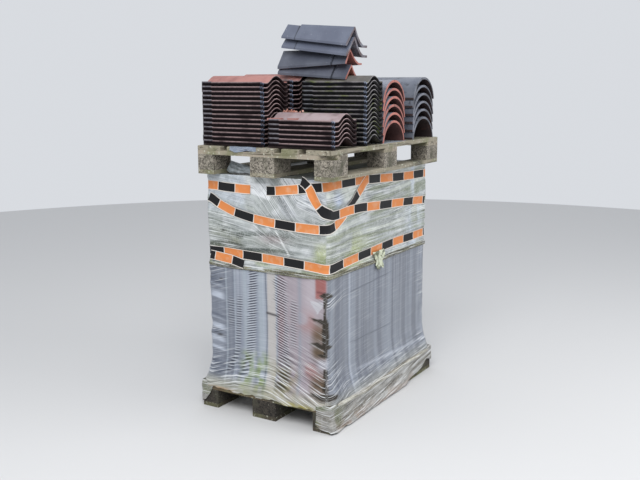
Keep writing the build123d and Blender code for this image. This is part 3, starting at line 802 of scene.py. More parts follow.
def upper_paint(distance, height):
    """The slack film's colours: whitish with grey dirt, green algae low down, white creases, and
    painted shade and painted highlights along the folds of the sides.
    """
    x, y, front, right = film_sides(distance)
    corner = from_corner(distance)
    flow = upper_flow(distance, height)
    cloud = smooth_noise(distance * 6, height * 9, 26)
    blotch = smooth_noise(distance * 22, height * 22, 27)
    lines = smooth_noise(flow[..., 0] * 4, flow[..., 1] * 46, 28)
    wander = 0.03 * smooth_noise(distance * 3, height * 2, 29)
    level = smooth_noise(distance * 4, (height + wander) * 50, 30)
    glaze = smooth_noise(y * 24, height * 5, 32)
    specks = smooth_noise(distance * 14, height * 40, 33)
    side = 1 - 0.8 * front
    low_front = front * up_to(height, 0.95, 1.0) * step(height, 0.86, 0.89)
    green = step(smooth_noise(distance * 11, height * 13, 31), 0.38, 0.7)
    side_green = up_to(height, 0.88, 1.02) * step(corner, -0.16, -0.02) * up_to(corner, 0.20, 0.55)
    fold = front * bell(height + 1.5 * (x - 0.115), 0.93, 0.007)
    fold = fold * up_to(height, 0.99, 1.02) * step(height, 0.87, 0.89)
    slit = front * bell(x, -0.262, 0.012) * bell(height, 0.975, 0.006)
    scrap = step(x, -0.094, -0.086) * up_to(x, 0.030, 0.045)
    scrap = scrap * step(height + 0.25 * x, 1.155, 1.163) * up_to(height, 1.228, 1.236)
    return paint(
        height.shape, (0.68, 0.70, 0.70),
        # clouds of dirt, and clearer film high on the front
        ((0.55, 0.57, 0.555), step(cloud, 0.35, 0.75) * 0.65),
        ((0.80, 0.81, 0.82), step(blotch, 0.60, 0.85) * 0.6),
        ((0.72, 0.75, 0.79), front * step(-x, 0.10, 0.14) * step(height, 1.06, 1.10) * 0.75),
        ((0.70, 0.71, 0.74), front * step(x, 0.06, 0.12) * step(height, 1.04, 1.10) * 0.5),
        # painted shade and painted highlights in lines along the folds of the sides
        ((0.50, 0.53, 0.44), side * step(lines, 0.45, 0.75) * 0.7),
        ((0.82, 0.84, 0.80), side * step(1 - lines, 0.60, 0.85) * 0.7),
        # wet dirt and clay low on the front
        ((0.27, 0.30, 0.28), low_front * step(level, 0.40, 0.62) * bell(x, -0.04, 0.20) * 0.95),
        ((0.53, 0.45, 0.45), low_front * bell(x, 0.05, 0.08) * bell(height, 0.96, 0.03) * 0.6),
        ((0.50, 0.51, 0.43), low_front * step(-x, 0.12, 0.18) * step(cloud, 0.3, 0.6) * 0.6),
        ((0.30, 0.32, 0.29), low_front * step(-x, 0.10, 0.16) * step(specks, 0.62, 0.82) * 0.8),
        # algae
        ((0.62, 0.66, 0.40), green * side_green * 0.65),
        ((0.52, 0.56, 0.42), green * up_to(height, 0.84, 0.93) * front * 0.6),
        # bluish shine of the sky
        ((0.78, 0.81, 0.86), bell(x, 0.30, 0.06) * front * step(height, 1.12, 1.2) * 0.7),
        ((0.80, 0.84, 0.90), right * bell(y, 0.40, 0.09) * step(glaze, 0.35, 0.7) * 0.7),
        ((0.70, 0.76, 0.90), right * bell(y, -0.47, 0.04) * bell(height, 1.16, 0.05) * 0.6),
        # a white fold, a slit and a white scrap
        ((0.95, 0.96, 0.95), fold * 0.95),
        ((0.18, 0.19, 0.17), slit * 0.9),
        ((0.90, 0.91, 0.92), front * scrap * 0.9),
    )


slack_film = film_material("slack_film", 0.42, 0.0012, 0.6)
upper_rows = 96
hem_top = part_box("film_hem_roll")[1].z
part = np.linspace(0, 1, upper_rows)[:, None]
behind_hem = 0.012
height = ((hem_top - behind_hem) * (1 - part) + load_top * part) + 0 * around
distance = np.broadcast_to(around, height.shape)
offset = upper_offset(height) + upper_relief(distance, height)
upper_film = film_piece(
    "upper_film_wrap", "upper_film", "dirty_film",
    wrap_points(distance, height, offset), grid_faces(upper_rows, columns, True), slack_film,
    paint=upper_paint(distance, height), flow=upper_flow(distance, height),
)


def bunched(name, replaced, slot, centres, outward, radii, colours, seed, end=0.0):
    """Bunched film along a line: a rope whose folds run along it, drawn to a point over its ends."""
    rows = 14
    turn = np.linspace(0, 2 * math.pi, rows, endpoint=False)[:, None]
    along = np.concatenate(([0], np.cumsum(np.linalg.norm(np.diff(centres, axis=0), axis=1))))
    folds = 0.72 + 0.45 * smooth_noise(turn * 2.2, turn * 0 + along * 7, seed)
    if end:
        folds = folds * np.sqrt(np.clip(np.minimum(along, along[-1] - along) / end, 0.0001, 1))
    else:
        folds[:, -1] = folds[:, 0]
    across = np.cos(turn) * radii[0] * folds
    up = np.sin(turn) * radii[1] * folds
    points = centres[None] + across[..., None] * outward[None] + up[..., None] * np.array((0, 0, 1))
    shade = smooth_noise(turn * 3, turn * 0 + along * 9, seed + 1)
    colours = paint(shade.shape, colours[0], (colours[1], step(shade, 0.45, 0.75)))
    flow = np.stack((0 * turn + along, turn * radii[1] + 0.05 * along, 1 + 0 * shade), axis=-1)
    faces = grid_faces(rows, len(centres))
    last = (rows - 1) * len(centres)
    faces += [(last + at, last + at + 1, at + 1, at) for at in range(len(centres) - 1)]
    return film_piece(name, replaced, slot, points, faces, slack_film, paint=colours, flow=flow)


hem_steps = 420
around_hem = np.linspace(0, outline_length, hem_steps)
hem_low, hem_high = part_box("film_hem_roll")
place = outline(around_hem)
hem_height = (hem_low.z + hem_high.z) / 2 + 0.004 * (smooth_noise(around_hem * 6, 0, 33) - 0.5)
hem_out = 0.0075 + 0.003 * smooth_noise(around_hem * 8, 0, 34)
hem_height[-1], hem_out[-1] = hem_height[0], hem_out[0]
centres = np.column_stack((place[:, :2] + place[:, 2:] * hem_out[:, None], hem_height))
outward = np.column_stack((place[:, 2:], np.zeros(hem_steps)))
bunched(
    "rolled_hem", "film_hem_roll", "dirty_film", centres, outward, (0.007, 0.013),
    ((0.50, 0.49, 0.38), (0.24, 0.23, 0.18)), 35,
)

# The top film is one sheet of the same film, laid slack over the load and held down by the upper
# pallet that stands on it.
top_low, top_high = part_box("top_film")
steps_x, steps_y = 90, 140
side_x = np.linspace(top_low.x, top_high.x, steps_x)
side_y = np.linspace(top_low.y, top_high.y, steps_y)[:, None]
x, y = side_x + 0 * side_y, side_y + 0 * side_x
z = top_low.z + 0.0004 + 0.0022 * smooth_noise(x * 26, y * 26, 36)
dirt = ((0.40, 0.42, 0.38), step(smooth_noise(x * 12, y * 12, 37), 0.4, 0.8))
top_film = film_piece(
    "top_film_sheet", "top_film", "dirty_film", np.dstack((x, y, z)), grid_faces(steps_y, steps_x),
    slack_film, paint=paint(z.shape, (0.56, 0.58, 0.58), dirt),
)

# The film's foot over the lower pallet: torn, muddy skirts that hang from the deck's edge to the
# ground, on the right side and round both front corners, under a rope of film bunched along the
# right side.


def skirt(name, replaced, corners, low, seed, algae_share, spread_of):
    """A wrinkled skirt along a line of corners, from the deck's edge to a torn lower edge."""
    rows, top, look_ahead = 34, 0.147, 0.02
    corners = np.array(corners)
    marks = np.concatenate(([0], np.cumsum(np.linalg.norm(np.diff(corners, axis=0), axis=1))))
    count = int(marks[-1] / film_cell)
    at = np.linspace(0, marks[-1], count)
    x, y = np.interp(at, marks, corners[:, 0]), np.interp(at, marks, corners[:, 1])
    behind, ahead = (
        np.array([np.interp(at + reach, marks, corners[:, axis]) for axis in (0, 1)])
        for reach in (-look_ahead, look_ahead)
    )
    way = (ahead - behind) / np.linalg.norm(ahead - behind, axis=0)
    part = np.linspace(0, 1, rows)[:, None]
    torn = np.interp(at / marks[-1], *low) + 0.010 * smooth_noise(at * 25, 0, seed)
    z = torn * (1 - part) + top * part
    at = at + 0 * part
    across = z - 0.13 * at - 0.05 * np.exp(-at / 0.2)
    folds = 0.009 * smooth_noise(at * 5, across * 42, seed + 1)
    folds += 0.003 * smooth_noise(at * 20, z * 30, seed + 2)
    spread = spread_of(x, y) * up_to(z, 0.0, 0.09)
    out = 0.0012 + folds * up_to(z, 0.135, 0.146) + spread
    lines = smooth_noise(at * 4, across * 60, seed + 3)
    dirt = smooth_noise(at * 14, z * 22, seed + 4)
    colours = paint(
        z.shape, (0.60, 0.59, 0.57),
        # light and dark lines along the folds: painted highlights and painted shade
        ((0.76, 0.76, 0.75), step(lines, 0.55, 0.8) * 0.8),
        ((0.42, 0.40, 0.36), step(1 - lines, 0.6, 0.85) * 0.7),
        ((0.36, 0.38, 0.26), step(dirt, 0.4, 0.75) * algae_share(x, y) * 0.8),
        ((0.56, 0.47, 0.41), up_to(z, 0.01, 0.07) * step(dirt, 0.3, 0.6) * 0.6),
    )
    flow = np.stack((at, across, 1 + 0 * z), axis=-1)
    made = film_piece(
        name, replaced, "stretch_film", np.dstack((x + way[1] * out, y - way[0] * out, z)),
        grid_faces(rows, count), slack_film, paint=colours, flow=flow,
    )


right_low, right_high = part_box("film_skirt_right")
left_low, left_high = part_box("film_skirt_left")
film_gap = 0.0018
skirt_x, skirt_front, skirt_back = right_high.x - film_gap, right_low.y + film_gap, right_high.y
left_x = left_low.x + film_gap
skirt(
    "right_skirt", "film_skirt_right",
    [(right_low.x, skirt_front), (skirt_x, skirt_front), (skirt_x, skirt_back)],
    ((0, 0.02, 0.08, 0.7, 0.88, 0.94, 1), (0.030, 0.012, 0.002, 0.004, 0.03, 0.075, 0.05)), 40,
    lambda x, y: step(-y, 0.40, 0.60), lambda x, y: 0.018 * step(x, 0.395, 0.40) * up_to(y, 0.20, 0.34),
)
skirt(
    "left_corner_skirt", "film_skirt_left",
    [(left_x, left_high.y), (left_x, skirt_front), (left_high.x, skirt_front)],
    ((0, 0.3, 0.58, 0.7, 0.85, 1), (0.05, 0.02, 0.012, 0.03, 0.07, 0.125)), 50,
    lambda x, y: 0.6 + 0 * x, lambda x, y: 0 * x,
)
rope_low, rope_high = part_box("film_rope")
rope_steps = 260
rope_y = np.linspace(rope_low.y, rope_high.y, rope_steps)
rope_z = np.interp(rope_y, (-0.55, -0.29, -0.06, 0.19, 0.53), (0.140, 0.122, 0.126, 0.134, 0.130))
rope_x = (rope_low.x + rope_high.x) / 2 + 0.002 * np.sin(rope_y * 21) - 0.004
centres = np.column_stack((rope_x, rope_y, rope_z))
outward = np.tile((1.0, 0.0, 0.0), (rope_steps, 1))
bunched(
    "bunched_film_rope", "film_rope", "stretch_film", centres, outward, (0.009, 0.011),
    ((0.76, 0.75, 0.70), (0.52, 0.49, 0.43)), 60, end=0.03,
)

# Loose flaps of film: one torn and crumpled on the right face, one in the left fork pocket of the
# upper pallet, and one end of the sheet that lies under the tiles, hanging over the deck's edge.


def crumpled_sheet(name, replaced, place_of, colours, seed):
    """A small torn sheet: place_of gives its points, from how far along its width and length they are."""
    rows, count = 46, 40
    across = np.linspace(0, 1, count)
    down = np.linspace(0, 1, rows)[:, None]
    ragged = 1 - 0.22 * smooth_noise(across * 5, 0, seed)
    points = place_of(across + 0 * down, down * ragged)
    shade = smooth_noise(across * 6 + 0 * down, down * 9, seed + 1)
    colours = paint(shade.shape, colours[0], (colours[1], step(shade, 0.5, 0.8)))
    faces = [face[::-1] for face in grid_faces(rows, count)]
    made = film_piece(name, replaced, "dirty_film", points, faces, slack_film, paint=colours)


flap_low, flap_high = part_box("film_flap_right")
flap_drop, flap_half, flap_middle = 0.118, 0.062, 0.075


def right_flap(across, down):
    """The flap hangs from under the tape, narrows downward and lies in crumpled folds."""
    middle = flap_low.y + flap_middle + 0.02 * down
    half = flap_half * (1 - 0.55 * down) * (1 + 0.15 * np.sin(down * 9))
    y = middle + (across * 2 - 1) * half
    folds = np.abs(np.sin(across * 10 + down * 5)) * 0.006
    folds = folds + smooth_noise(across * 7, down * 9, 71) * 0.006
    return np.dstack((flap_low.x - 0.001 + folds, y, flap_high.z - 0.002 - down * flap_drop))


crumpled_sheet(
    "torn_flap_right", "film_flap_right", right_flap,
    ((0.78, 0.80, 0.70), (0.40, 0.42, 0.32)), 70,
)
pocket_low, pocket_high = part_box("film_flap_pocket")
pocket_rise, pocket_fall, pocket_lean = 0.060, 0.035, 0.030


def pocket_flap(across, down):
    """The flap stands up from the load's top and leans back, lower at its right."""
    up = 1 - down
    x = pocket_low.x + across * (pocket_high.x - pocket_low.x) + 0.02 * up
    y = pocket_low.y - 0.006 + up * pocket_lean + 0.008 * smooth_noise(across * 5, down * 5, 73)
    return np.dstack((x, y, pocket_low.z + up * (pocket_rise - pocket_fall * across) + 0.004))


crumpled_sheet(
    "flap_in_fork_pocket", "film_flap_pocket", pocket_flap,
    ((0.62, 0.65, 0.67), (0.44, 0.47, 0.48)), 72,
)
deck_low, deck_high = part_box("film_flap_deck")


def deck_flap(across, down):
    """The sheet comes from under the tiles and folds over the deck's front edge, lower at its left."""
    x = deck_low.x + across * (deck_high.x - deck_low.x)
    hang = 0.026 + 0.012 * bell(across, 0.25, 0.3)
    over_deck = np.clip(down * 2, 0, 1)
    past_edge = np.clip(down * 2 - 1, 0, 1)
    y = deck_high.y - over_deck * (deck_high.y - deck_low.y) - 0.002 * past_edge
    return np.dstack((x, y, deck_high.z + 0.0008 - past_edge * hang + 0.0006 * np.sin(across * 12)))


crumpled_sheet(
    "sheet_over_deck_edge", "film_flap_deck", deck_flap,
    ((0.50, 0.54, 0.60), (0.38, 0.41, 0.47)), 74,
)
pale_film, tree, shader = new_material("pale_film", 0.4)
place = object_place(tree)
colour = mixed(tree, spots(tree, place, 30.0, 0.4, 0.65), (0.27, 0.31, 0.36), (0.42, 0.45, 0.48))
colour_with(tree, shader, colour)
give(["deck_film_sheet"], pale_film)

# Plastic tape, wound round the wrap by hand: two level turns, a slack strand and a crossing one, in
# orange and black blocks with white edges. Each strip lies on the film's relief along its path.
tape_material, tree, shader = new_material("printed_tape", 0.5)
shader.inputs["Specular IOR Level"].default_value = 0.25
strip = read(tree, "strip")
block = maths(tree, "FLOORED_MODULO", part_of(tree, strip, "X"), 2.0)
black = between(tree, block, 0.995, 1.005)
joint = between(tree, maths(tree, "PINGPONG", block, 0.5), 0.024, 0.012)
margin = between(tree, part_of(tree, strip, "Y"), 0.84, 0.88)
worn = spots(tree, object_place(tree), 26.0, 0.50, 0.75, 5.0)
orange = mixed(tree, worn, (0.62, 0.215, 0.065), (0.62, 0.32, 0.18))
colour = mixed(tree, black, orange, (0.008, 0.008, 0.009))
colour = mixed(tree, maths(tree, "MAXIMUM", joint, margin), colour, (0.66, 0.62, 0.57))
colour_with(tree, shader, colour)
tape_width = 0.050
tape_block = 0.132
tape_lift, tape_over_tape = 0.0016, 0.0012
blocks_beyond = 40


def film_under_tape(distance, height):
    """The highest film within a film cell of each point of a tape."""
    reach = np.zeros(np.shape(distance))
    around_point = (-0.008, -0.004, 0.0, 0.004, 0.008)
    for aside in around_point:
        for above in around_point:
            there = upper_offset(height + above) + upper_relief(distance + aside, height + above)
            reach = np.maximum(reach, there)
    return reach


def tape_strip(name, replaced, path, borders, first_black, layer=0.0, gaps=()):
    """A tape along a path of distances from the corner and heights, less its torn gaps. Its blocks
    meet at the borders, the first one after them is black or orange, and it lies over other layers."""
    rows, path_step, smoothed_over = 9, 0.005, 13
    marks, heights = path
    along = np.arange(marks[0], marks[-1], path_step)
    middle = np.pad(np.interp(along, marks, heights), smoothed_over // 2, mode="edge")
    middle = np.convolve(middle, np.ones(smoothed_over) / smoothed_over, mode="valid")
    slope = np.gradient(middle, along)
    narrow = 1 / np.sqrt(1 + slope ** 2)
    part = np.linspace(-0.5, 0.5, rows)[:, None]
    distance = along - part * tape_width * slope * narrow
    height = middle + part * tape_width * narrow
    offset = film_under_tape(distance, height) + tape_lift + layer * tape_over_tape
    faces = [
        face for face in grid_faces(rows, len(along))
        if not any(low < along[face[0] % len(along)] < high for low, high in gaps)
    ]
    before = [borders[0] - tape_block * number for number in range(blocks_beyond, 0, -1)]
    after = [borders[-1] + tape_block * number for number in range(1, blocks_beyond)]
    borders = before + list(borders) + after
    blocks = np.interp(along, borders, np.arange(len(borders))) + (1 if first_black else 0)
    values = np.dstack((blocks + 0 * part, np.abs(part * 2) + 0 * along, 0 * part + 0 * along))
    points = wrap_points(distance, height, offset)
    made = film_piece(name, replaced, "printed_tape", points, faces, tape_material, strip=values)


tape_strip(
    "level_tape_top", "tape_top", tape_paths["tape_top"],
    front_marks([-0.289, -0.18, -0.055, 0.068, 0.203, 0.34])
    + right_marks([-0.428, -0.291, -0.147, -0.018, 0.124, 0.261, 0.392, 0.525]),
    True, gaps=[front_marks([-0.088, 0.012])],
)
tape_strip(
    "level_tape_bottom", "tape_bottom", tape_paths["tape_bottom"],
    front_marks([-0.26, -0.138, -0.018, 0.114, 0.235])
    + right_marks([-0.545, -0.411, -0.256, -0.119, 0.008, 0.14, 0.27, 0.40]),
    False,
)
tape_strip(
    "slack_tape", "tape_slack", tape_paths["tape_slack"],
    front_marks([-0.282, -0.183, -0.064, 0.065, 0.187, 0.325]) + right_marks([-0.50, -0.372, -0.265]),
    False, 1.0,
)
tape_strip(
    "crossing_tape", "tape_cross", tape_paths["tape_cross"],
    front_marks([0.262, 0.325]) + right_marks([-0.457, -0.311, -0.172, -0.032, 0.11, 0.254, 0.378]),
    False, 2.0,
)
tape_strip(
    "doubled_tape_end", "tape_bottom",
    (front_marks([-0.345, -0.286, -0.201, -0.125]), [0.838, 0.832, 0.824, 0.806]),
    front_marks([-0.315, -0.205]), False, 2.5,
)

# The loose roof tiles are pressed and fired clay, nested in piles on the deck. Geometry nodes pile a
# tile up at its pitch, each a hair out of line with the next, and give its faces their materials by
# the kind that the mesh carries.


def compared(tree, first, operation, second):
    """Whether one whole number compares so with another."""
    test = node(tree, "FunctionNodeCompare", {2: first, 3: second}, data_type="INT", operation=operation)
    return test.outputs["Result"]


def whole_number(tree, name):
    """A whole number that the mesh carries."""
    given = node(tree, "GeometryNodeInputNamedAttribute", {"Name": name}, data_type="INT")
    return given.outputs["Attribute"]


tile_kinds = ("Face", "Edge", "Under", "Hook")
FACE, EDGE, UNDER, HOOK = range(len(tile_kinds))
pile_tree, given = new_nodes(
    "tile_pile", Count="Int", Pitch="Float", Drift="Float", Turn="Float", Seed="Int", Top="Material",
    **{kind: "Material" for kind in tile_kinds},
)
upward = node(pile_tree, "CombineXYZ", {"Z": given["Pitch"]}).outputs["Vector"]
line = node(pile_tree, "GeometryNodeMeshLine", {"Count": given["Count"], "Offset": upward})
line = set_aside(pile_tree, line.outputs["Mesh"], given["Seed"], given["Drift"])
turn_seed = maths(pile_tree, "ADD", given["Seed"], 100.0)
turn = scaled(pile_tree, random_part(pile_tree, turn_seed, (0, 0, -1), (0, 0, 1)), given["Turn"])
pile = on_points(pile_tree, line, given["Base"], Rotation=turn)
index = node(pile_tree, "GeometryNodeInputIndex", {}).outputs["Index"]
pile = node(
    pile_tree, "GeometryNodeStoreNamedAttribute", {"Geometry": pile, "Name": "number", "Value": index},
    data_type="INT", domain="INSTANCE",
).outputs["Geometry"]
pile = realized(pile_tree, pile)
kind_of_face = whole_number(pile_tree, "kind")
for number, kind in enumerate(tile_kinds):
    chosen = compared(pile_tree, kind_of_face, "EQUAL", number)
    pile = with_material(pile_tree, pile, given[kind], chosen)
# The uppermost tile's upper face takes its own top material; the faces lower in the pile keep the dark one,
# which is painted shade between the tiles.
upper_face = compared(pile_tree, kind_of_face, "EQUAL", FACE)
last = maths(pile_tree, "SUBTRACT", given["Count"], 1.0)
uppermost = compared(pile_tree, whole_number(pile_tree, "number"), "GREATER_EQUAL", last)
chosen = node(pile_tree, "FunctionNodeBooleanMath", {0: upper_face, 1: uppermost}).outputs["Boolean"]
end_nodes(pile_tree, with_material(pile_tree, pile, given["Top"], chosen))


def tile_pile(replaced, tile, kinds, at, slot, **values):
    """Piles up a tile whose faces are of the given kinds, from the place of the lowest one."""
    tile.data.attributes.new("kind", "INT", "FACE").data.foreach_set("value", kinds)
    outward = bmesh.new()
    outward.from_mesh(tile.data)
    bmesh.ops.recalc_face_normals(outward, faces=outward.faces)
    outward.to_mesh(tile.data)
    made = grow(tile, pile_tree, **values)
    made.data.transform(Matrix.Translation(at))
    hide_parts(replaced)
    return made


# The pan tiles are pressed clay with a ribbed lap at one side, a broad wave and a hooked lip at the
# other, so that each tile lies in the next. A tile is rings of its section along its length, with a
# clipped corner at its head.
tile_thickness, rim_height, rim_width = 0.010, 0.005, 0.006
head_zone, clipped_corner, clearance = 0.084, 0.026, 0.0003
hair = 0.0002
tile_pitch, behind_pitch = 0.0224, 0.0231
light_moss, moss, soot = (0.20, 0.24, 0.06), (0.16, 0.20, 0.05), (0.06, 0.045, 0.045)


def normal_part(tree, axis):
    """How far a face points along one axis, from -1 to 1."""
    return part_of(tree, node(tree, "NewGeometry", {}).outputs["Normal"], axis)


def edge_material(name, light, head, dark, mossy):
    """A tile's sides and ends: a painted highlight along the upper edge, brightest on the front end,
    another tone at the head, and painted shade below and on the wave's far side."""
    material, tree, shader = new_material(name, 0.8)
    shader.inputs["Specular IOR Level"].default_value = 0.08
    rim = read(tree, "rim")
    place = object_place(tree)
    ragged = noise(tree, place, 60.0, 4.0)
    ragged = node(tree, "MapRange", {"Value": ragged, "To Min": -0.15, "To Max": 0.15}).outputs["Result"]
    # Painted highlight along the upper edge and painted shade below it, the front end painted brighter, and
    # painted shade on the wave's far side.
    shade = between(tree, maths(tree, "ADD", part_of(tree, rim, "X"), ragged), 0.38, 0.98)
    front_end = between(tree, normal_part(tree, "X"), 0.6, 0.9)
    near = between(tree, part_of(tree, rim, "Z"), 1.2, 0.0)
    light = mixed(tree, part_of(tree, rim, "Y"), light, head)
    light = mixed(tree, front_end, light, (1.7, 1.7, 1.7), "MULTIPLY")
    light = stained(tree, place, light, (11.0, 0.55, 0.68, 4.0, mossy, light_moss))
    colour = mixed(tree, times(tree, shade, shade, near), dark, light)
    colour_with(tree, shader, stained(tree, place, colour, (12.0, 0.52, 0.72, 4.0, 0.7, dark)))
    return material


def face_material(name, colours, roughness, mossy):
    """A tile's upper and lower face: clouded clay with dark stains and some moss."""
    material, tree, shader = new_material(name, roughness)
    place = object_place(tree)
    colour = stained(
        tree, place, mixed(tree, spots(tree, place, 18.0, 0.40, 0.66, 6.0), *colours),
        (9.0, 0.58, 0.74, 6.0, 1.0, soot), (14.0, 0.55, 0.66, 4.0, mossy, moss),
    )
    colour_with(tree, shader, colour)
    relief(tree, shader, noise(tree, place, 300.0, 2.0), 0.0005)
    return material


def pan_section(flat, wave_width, wave_height, tail, pitch):
    """The tile's section as pairs of upper and lower points: y, upper z, lower z."""
    rib_start, rib_end, lip_width = 0.024, 0.032, 0.008
    wave_points, crest_fullness = 24, 0.7
    top = tile_thickness + rim_height
    lip = pitch - tile_thickness - rim_height - clearance
    rib = pitch - tile_thickness - clearance
    rows = []
    for number in range(4):
        high = top if number in (0, 2) else tile_thickness
        rows.append((number * rim_width + hair * (number > 0), high, 0.0))
        if number < 3:
            rows.append(((number + 1) * rim_width, high, 0.0))
    rows += [(rib_start, tile_thickness, 0.0), (rib_start + hair, tile_thickness, -rib)]
    rows += [(rib_end, tile_thickness, -rib), (rib_end + hair, tile_thickness, 0.0)]
    for number in range(wave_points + 1):
        part = number / wave_points
        rise = wave_height * (0.5 - 0.5 * math.cos(2 * math.pi * part)) ** crest_fullness
        rows.append((flat + part * wave_width, tile_thickness + rise, rise))
    end = flat + wave_width + tail
    rows += [(end - lip_width, tile_thickness, 0.0), (end - lip_width + hair, top, -lip)]
    rows.append((end, top, -lip))
    return np.array(rows)


def pan_stack(name, replaced, slot, form, pitch, count, seed, forward=0.0, **materials):
    """A pile of pan tiles: one tile about its middle, repeated."""
    low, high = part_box(replaced)
    length = high.x - low.x
    section = pan_section(*form, pitch)
    lap_raised, lap_ribs, past_ribs = 0.0025, 3 * rim_width, 0.034
    cuts = (
        (0.0, rim_width + clipped_corner, lap_raised), (clipped_corner, rim_width, lap_raised),
        (head_zone, rim_width, lap_raised), (head_zone + hair, 0.0, 0.0),
        (length / 2, 0.0, 0.0), (length, 0.0, 0.0),
    )
    points, faces, rims, kinds = [], [], [], []
    size = len(section)
    hooks = int(np.sum(section[:, 0] < past_ribs))
    crest = form[0] + form[1] / 2
    for along, front, lifted in cuts:
        for back, upper, lower in section:
            raised = upper + lifted * (back < lap_ribs)
            # The rim vector: upper points for the painted highlight, the lifted head, and the wave's far
            # flank for painted shade.
            far_flank = float(step(back, crest + 0.012, crest + 0.045))
            for z, rim in ((raised, 1.0), (lower, 0.0)):
                points.append((along - length / 2, max(back, front), z))
                rims.append((rim, 1.0 if lifted else 0.0, far_flank))
    ring = 2 * size
    last = (len(cuts) - 1) * ring
    for base in range(0, last, ring):
        for a in range(base, base + ring - 2, 2):
            b = a + 2
            faces += [(a, b, b + ring, a + ring), (b + 1, a + 1, a + 1 + ring, b + 1 + ring)]
            kinds += [FACE, UNDER]
        a, b = base, base + ring - 2
        faces += [(a + 1, a, a + ring, a + 1 + ring), (b, b + 1, b + 1 + ring, b + ring)]
        kinds += [EDGE, EDGE]
    for index in range(size - 1):
        for base in (0, last):
            a = base + 2 * index
            quad = (a, a + 1, a + 3, a + 2)
            faces.append(quad[::-1] if base else quad)
            kinds.append(HOOK if index < hooks - 1 else EDGE)
    tile = mesh_object(name, points, faces, [], smooth=False, rim=rims)
    at = (low.x + length / 2, low.y - forward, low.z + pitch - tile_thickness - clearance)
    tile_pile(
        replaced, tile, kinds, at, slot,
        Count=count, Pitch=pitch, Drift=0.0016, Turn=0.0035, Seed=seed, **materials,
    )


# Flat, wave, height of the wave and tail. The stack behind is set forward of its solid.
wide_form = (0.062, 0.155, 0.035, 0.024)
behind_form = (0.090, 0.138, 0.034, 0.020)
narrow_form = (0.040, 0.138, 0.034, 0.020)
behind_forward = 0.050
# The faces of the tiles below the top of each pile, and all undersides, lie between the tiles: their
# near-black clay is painted shade.
brown_face = face_material("brown_clay", ((0.040, 0.022, 0.023), (0.060, 0.033, 0.032)), 0.6, 0.0)
pink_face = face_material("pink_clay", ((0.36, 0.17, 0.15), (0.27, 0.12, 0.11)), 0.65, 0.0)
dusty_face = face_material("dusty_clay", ((0.32, 0.255, 0.265), (0.25, 0.18, 0.185)), 0.6, 0.0)
grey_face = face_material("grey_clay", ((0.040, 0.038, 0.040), (0.06, 0.057, 0.058)), 0.5, 0.9)
worn_grey_face = face_material(
    "worn_grey_clay", ((0.105, 0.100, 0.094), (0.155, 0.145, 0.135)), 0.5, 0.5,
)
brown_edge = edge_material(
    "brown_edge", (0.36, 0.265, 0.265), (0.25, 0.235, 0.26), (0.004, 0.002, 0.003), 0.0,
)
grey_edge = edge_material(
    "grey_edge", (0.26, 0.245, 0.25), (0.24, 0.245, 0.27), (0.003, 0.003, 0.004), 0.8,
)
hook_edge = edge_material(
    "hook_edge", (0.19, 0.22, 0.29), (0.19, 0.22, 0.29), (0.012, 0.014, 0.022), 0.0,
)
brown_tile = {"Face": brown_face, "Under": brown_face, "Edge": brown_edge, "Hook": hook_edge}
grey_tile = {"Face": grey_face, "Under": grey_face, "Edge": grey_edge, "Hook": hook_edge}
pan_stack(
    "wide_pan_tiles_tall", "pan_tiles_front", "brown_clay",
    wide_form, tile_pitch, 14, 81, Top=pink_face, **brown_tile,
)
pan_stack(
    "narrow_pan_tiles_behind", "pan_tiles_behind", "grey_clay",
    behind_form, behind_pitch, 14, 82, behind_forward, Top=pink_face, **brown_tile,
)
pan_stack(
    "wide_pan_tiles_short", "pan_tiles_short_stack", "brown_clay",
    wide_form, tile_pitch, 6, 83, Top=dusty_face, **brown_tile,
)
pan_stack(
    "narrow_pan_tiles_tall", "pan_tiles_narrow", "grey_clay",
    narrow_form, tile_pitch, 14, 84, Top=worn_grey_face, **grey_tile,
)

# Half-round ridge tiles are arches of fired clay, nested over one another with their long edges down:
# six red ones and six blue-grey ones with a coat of engobe, with a lighter rim. Their insides are dark,
# partly the bare clay's own colour and partly painted shade, and the lowest band of each outer face
# takes the inside's dark as painted shade.
arch_thickness, arch_count, arch_foot, arch_drift, arch_turn = 0.0117, 6, 0.014, 0.002, 0.004
bevel_along, bevel_in, arc_points = 0.0015, 0.0025, 37


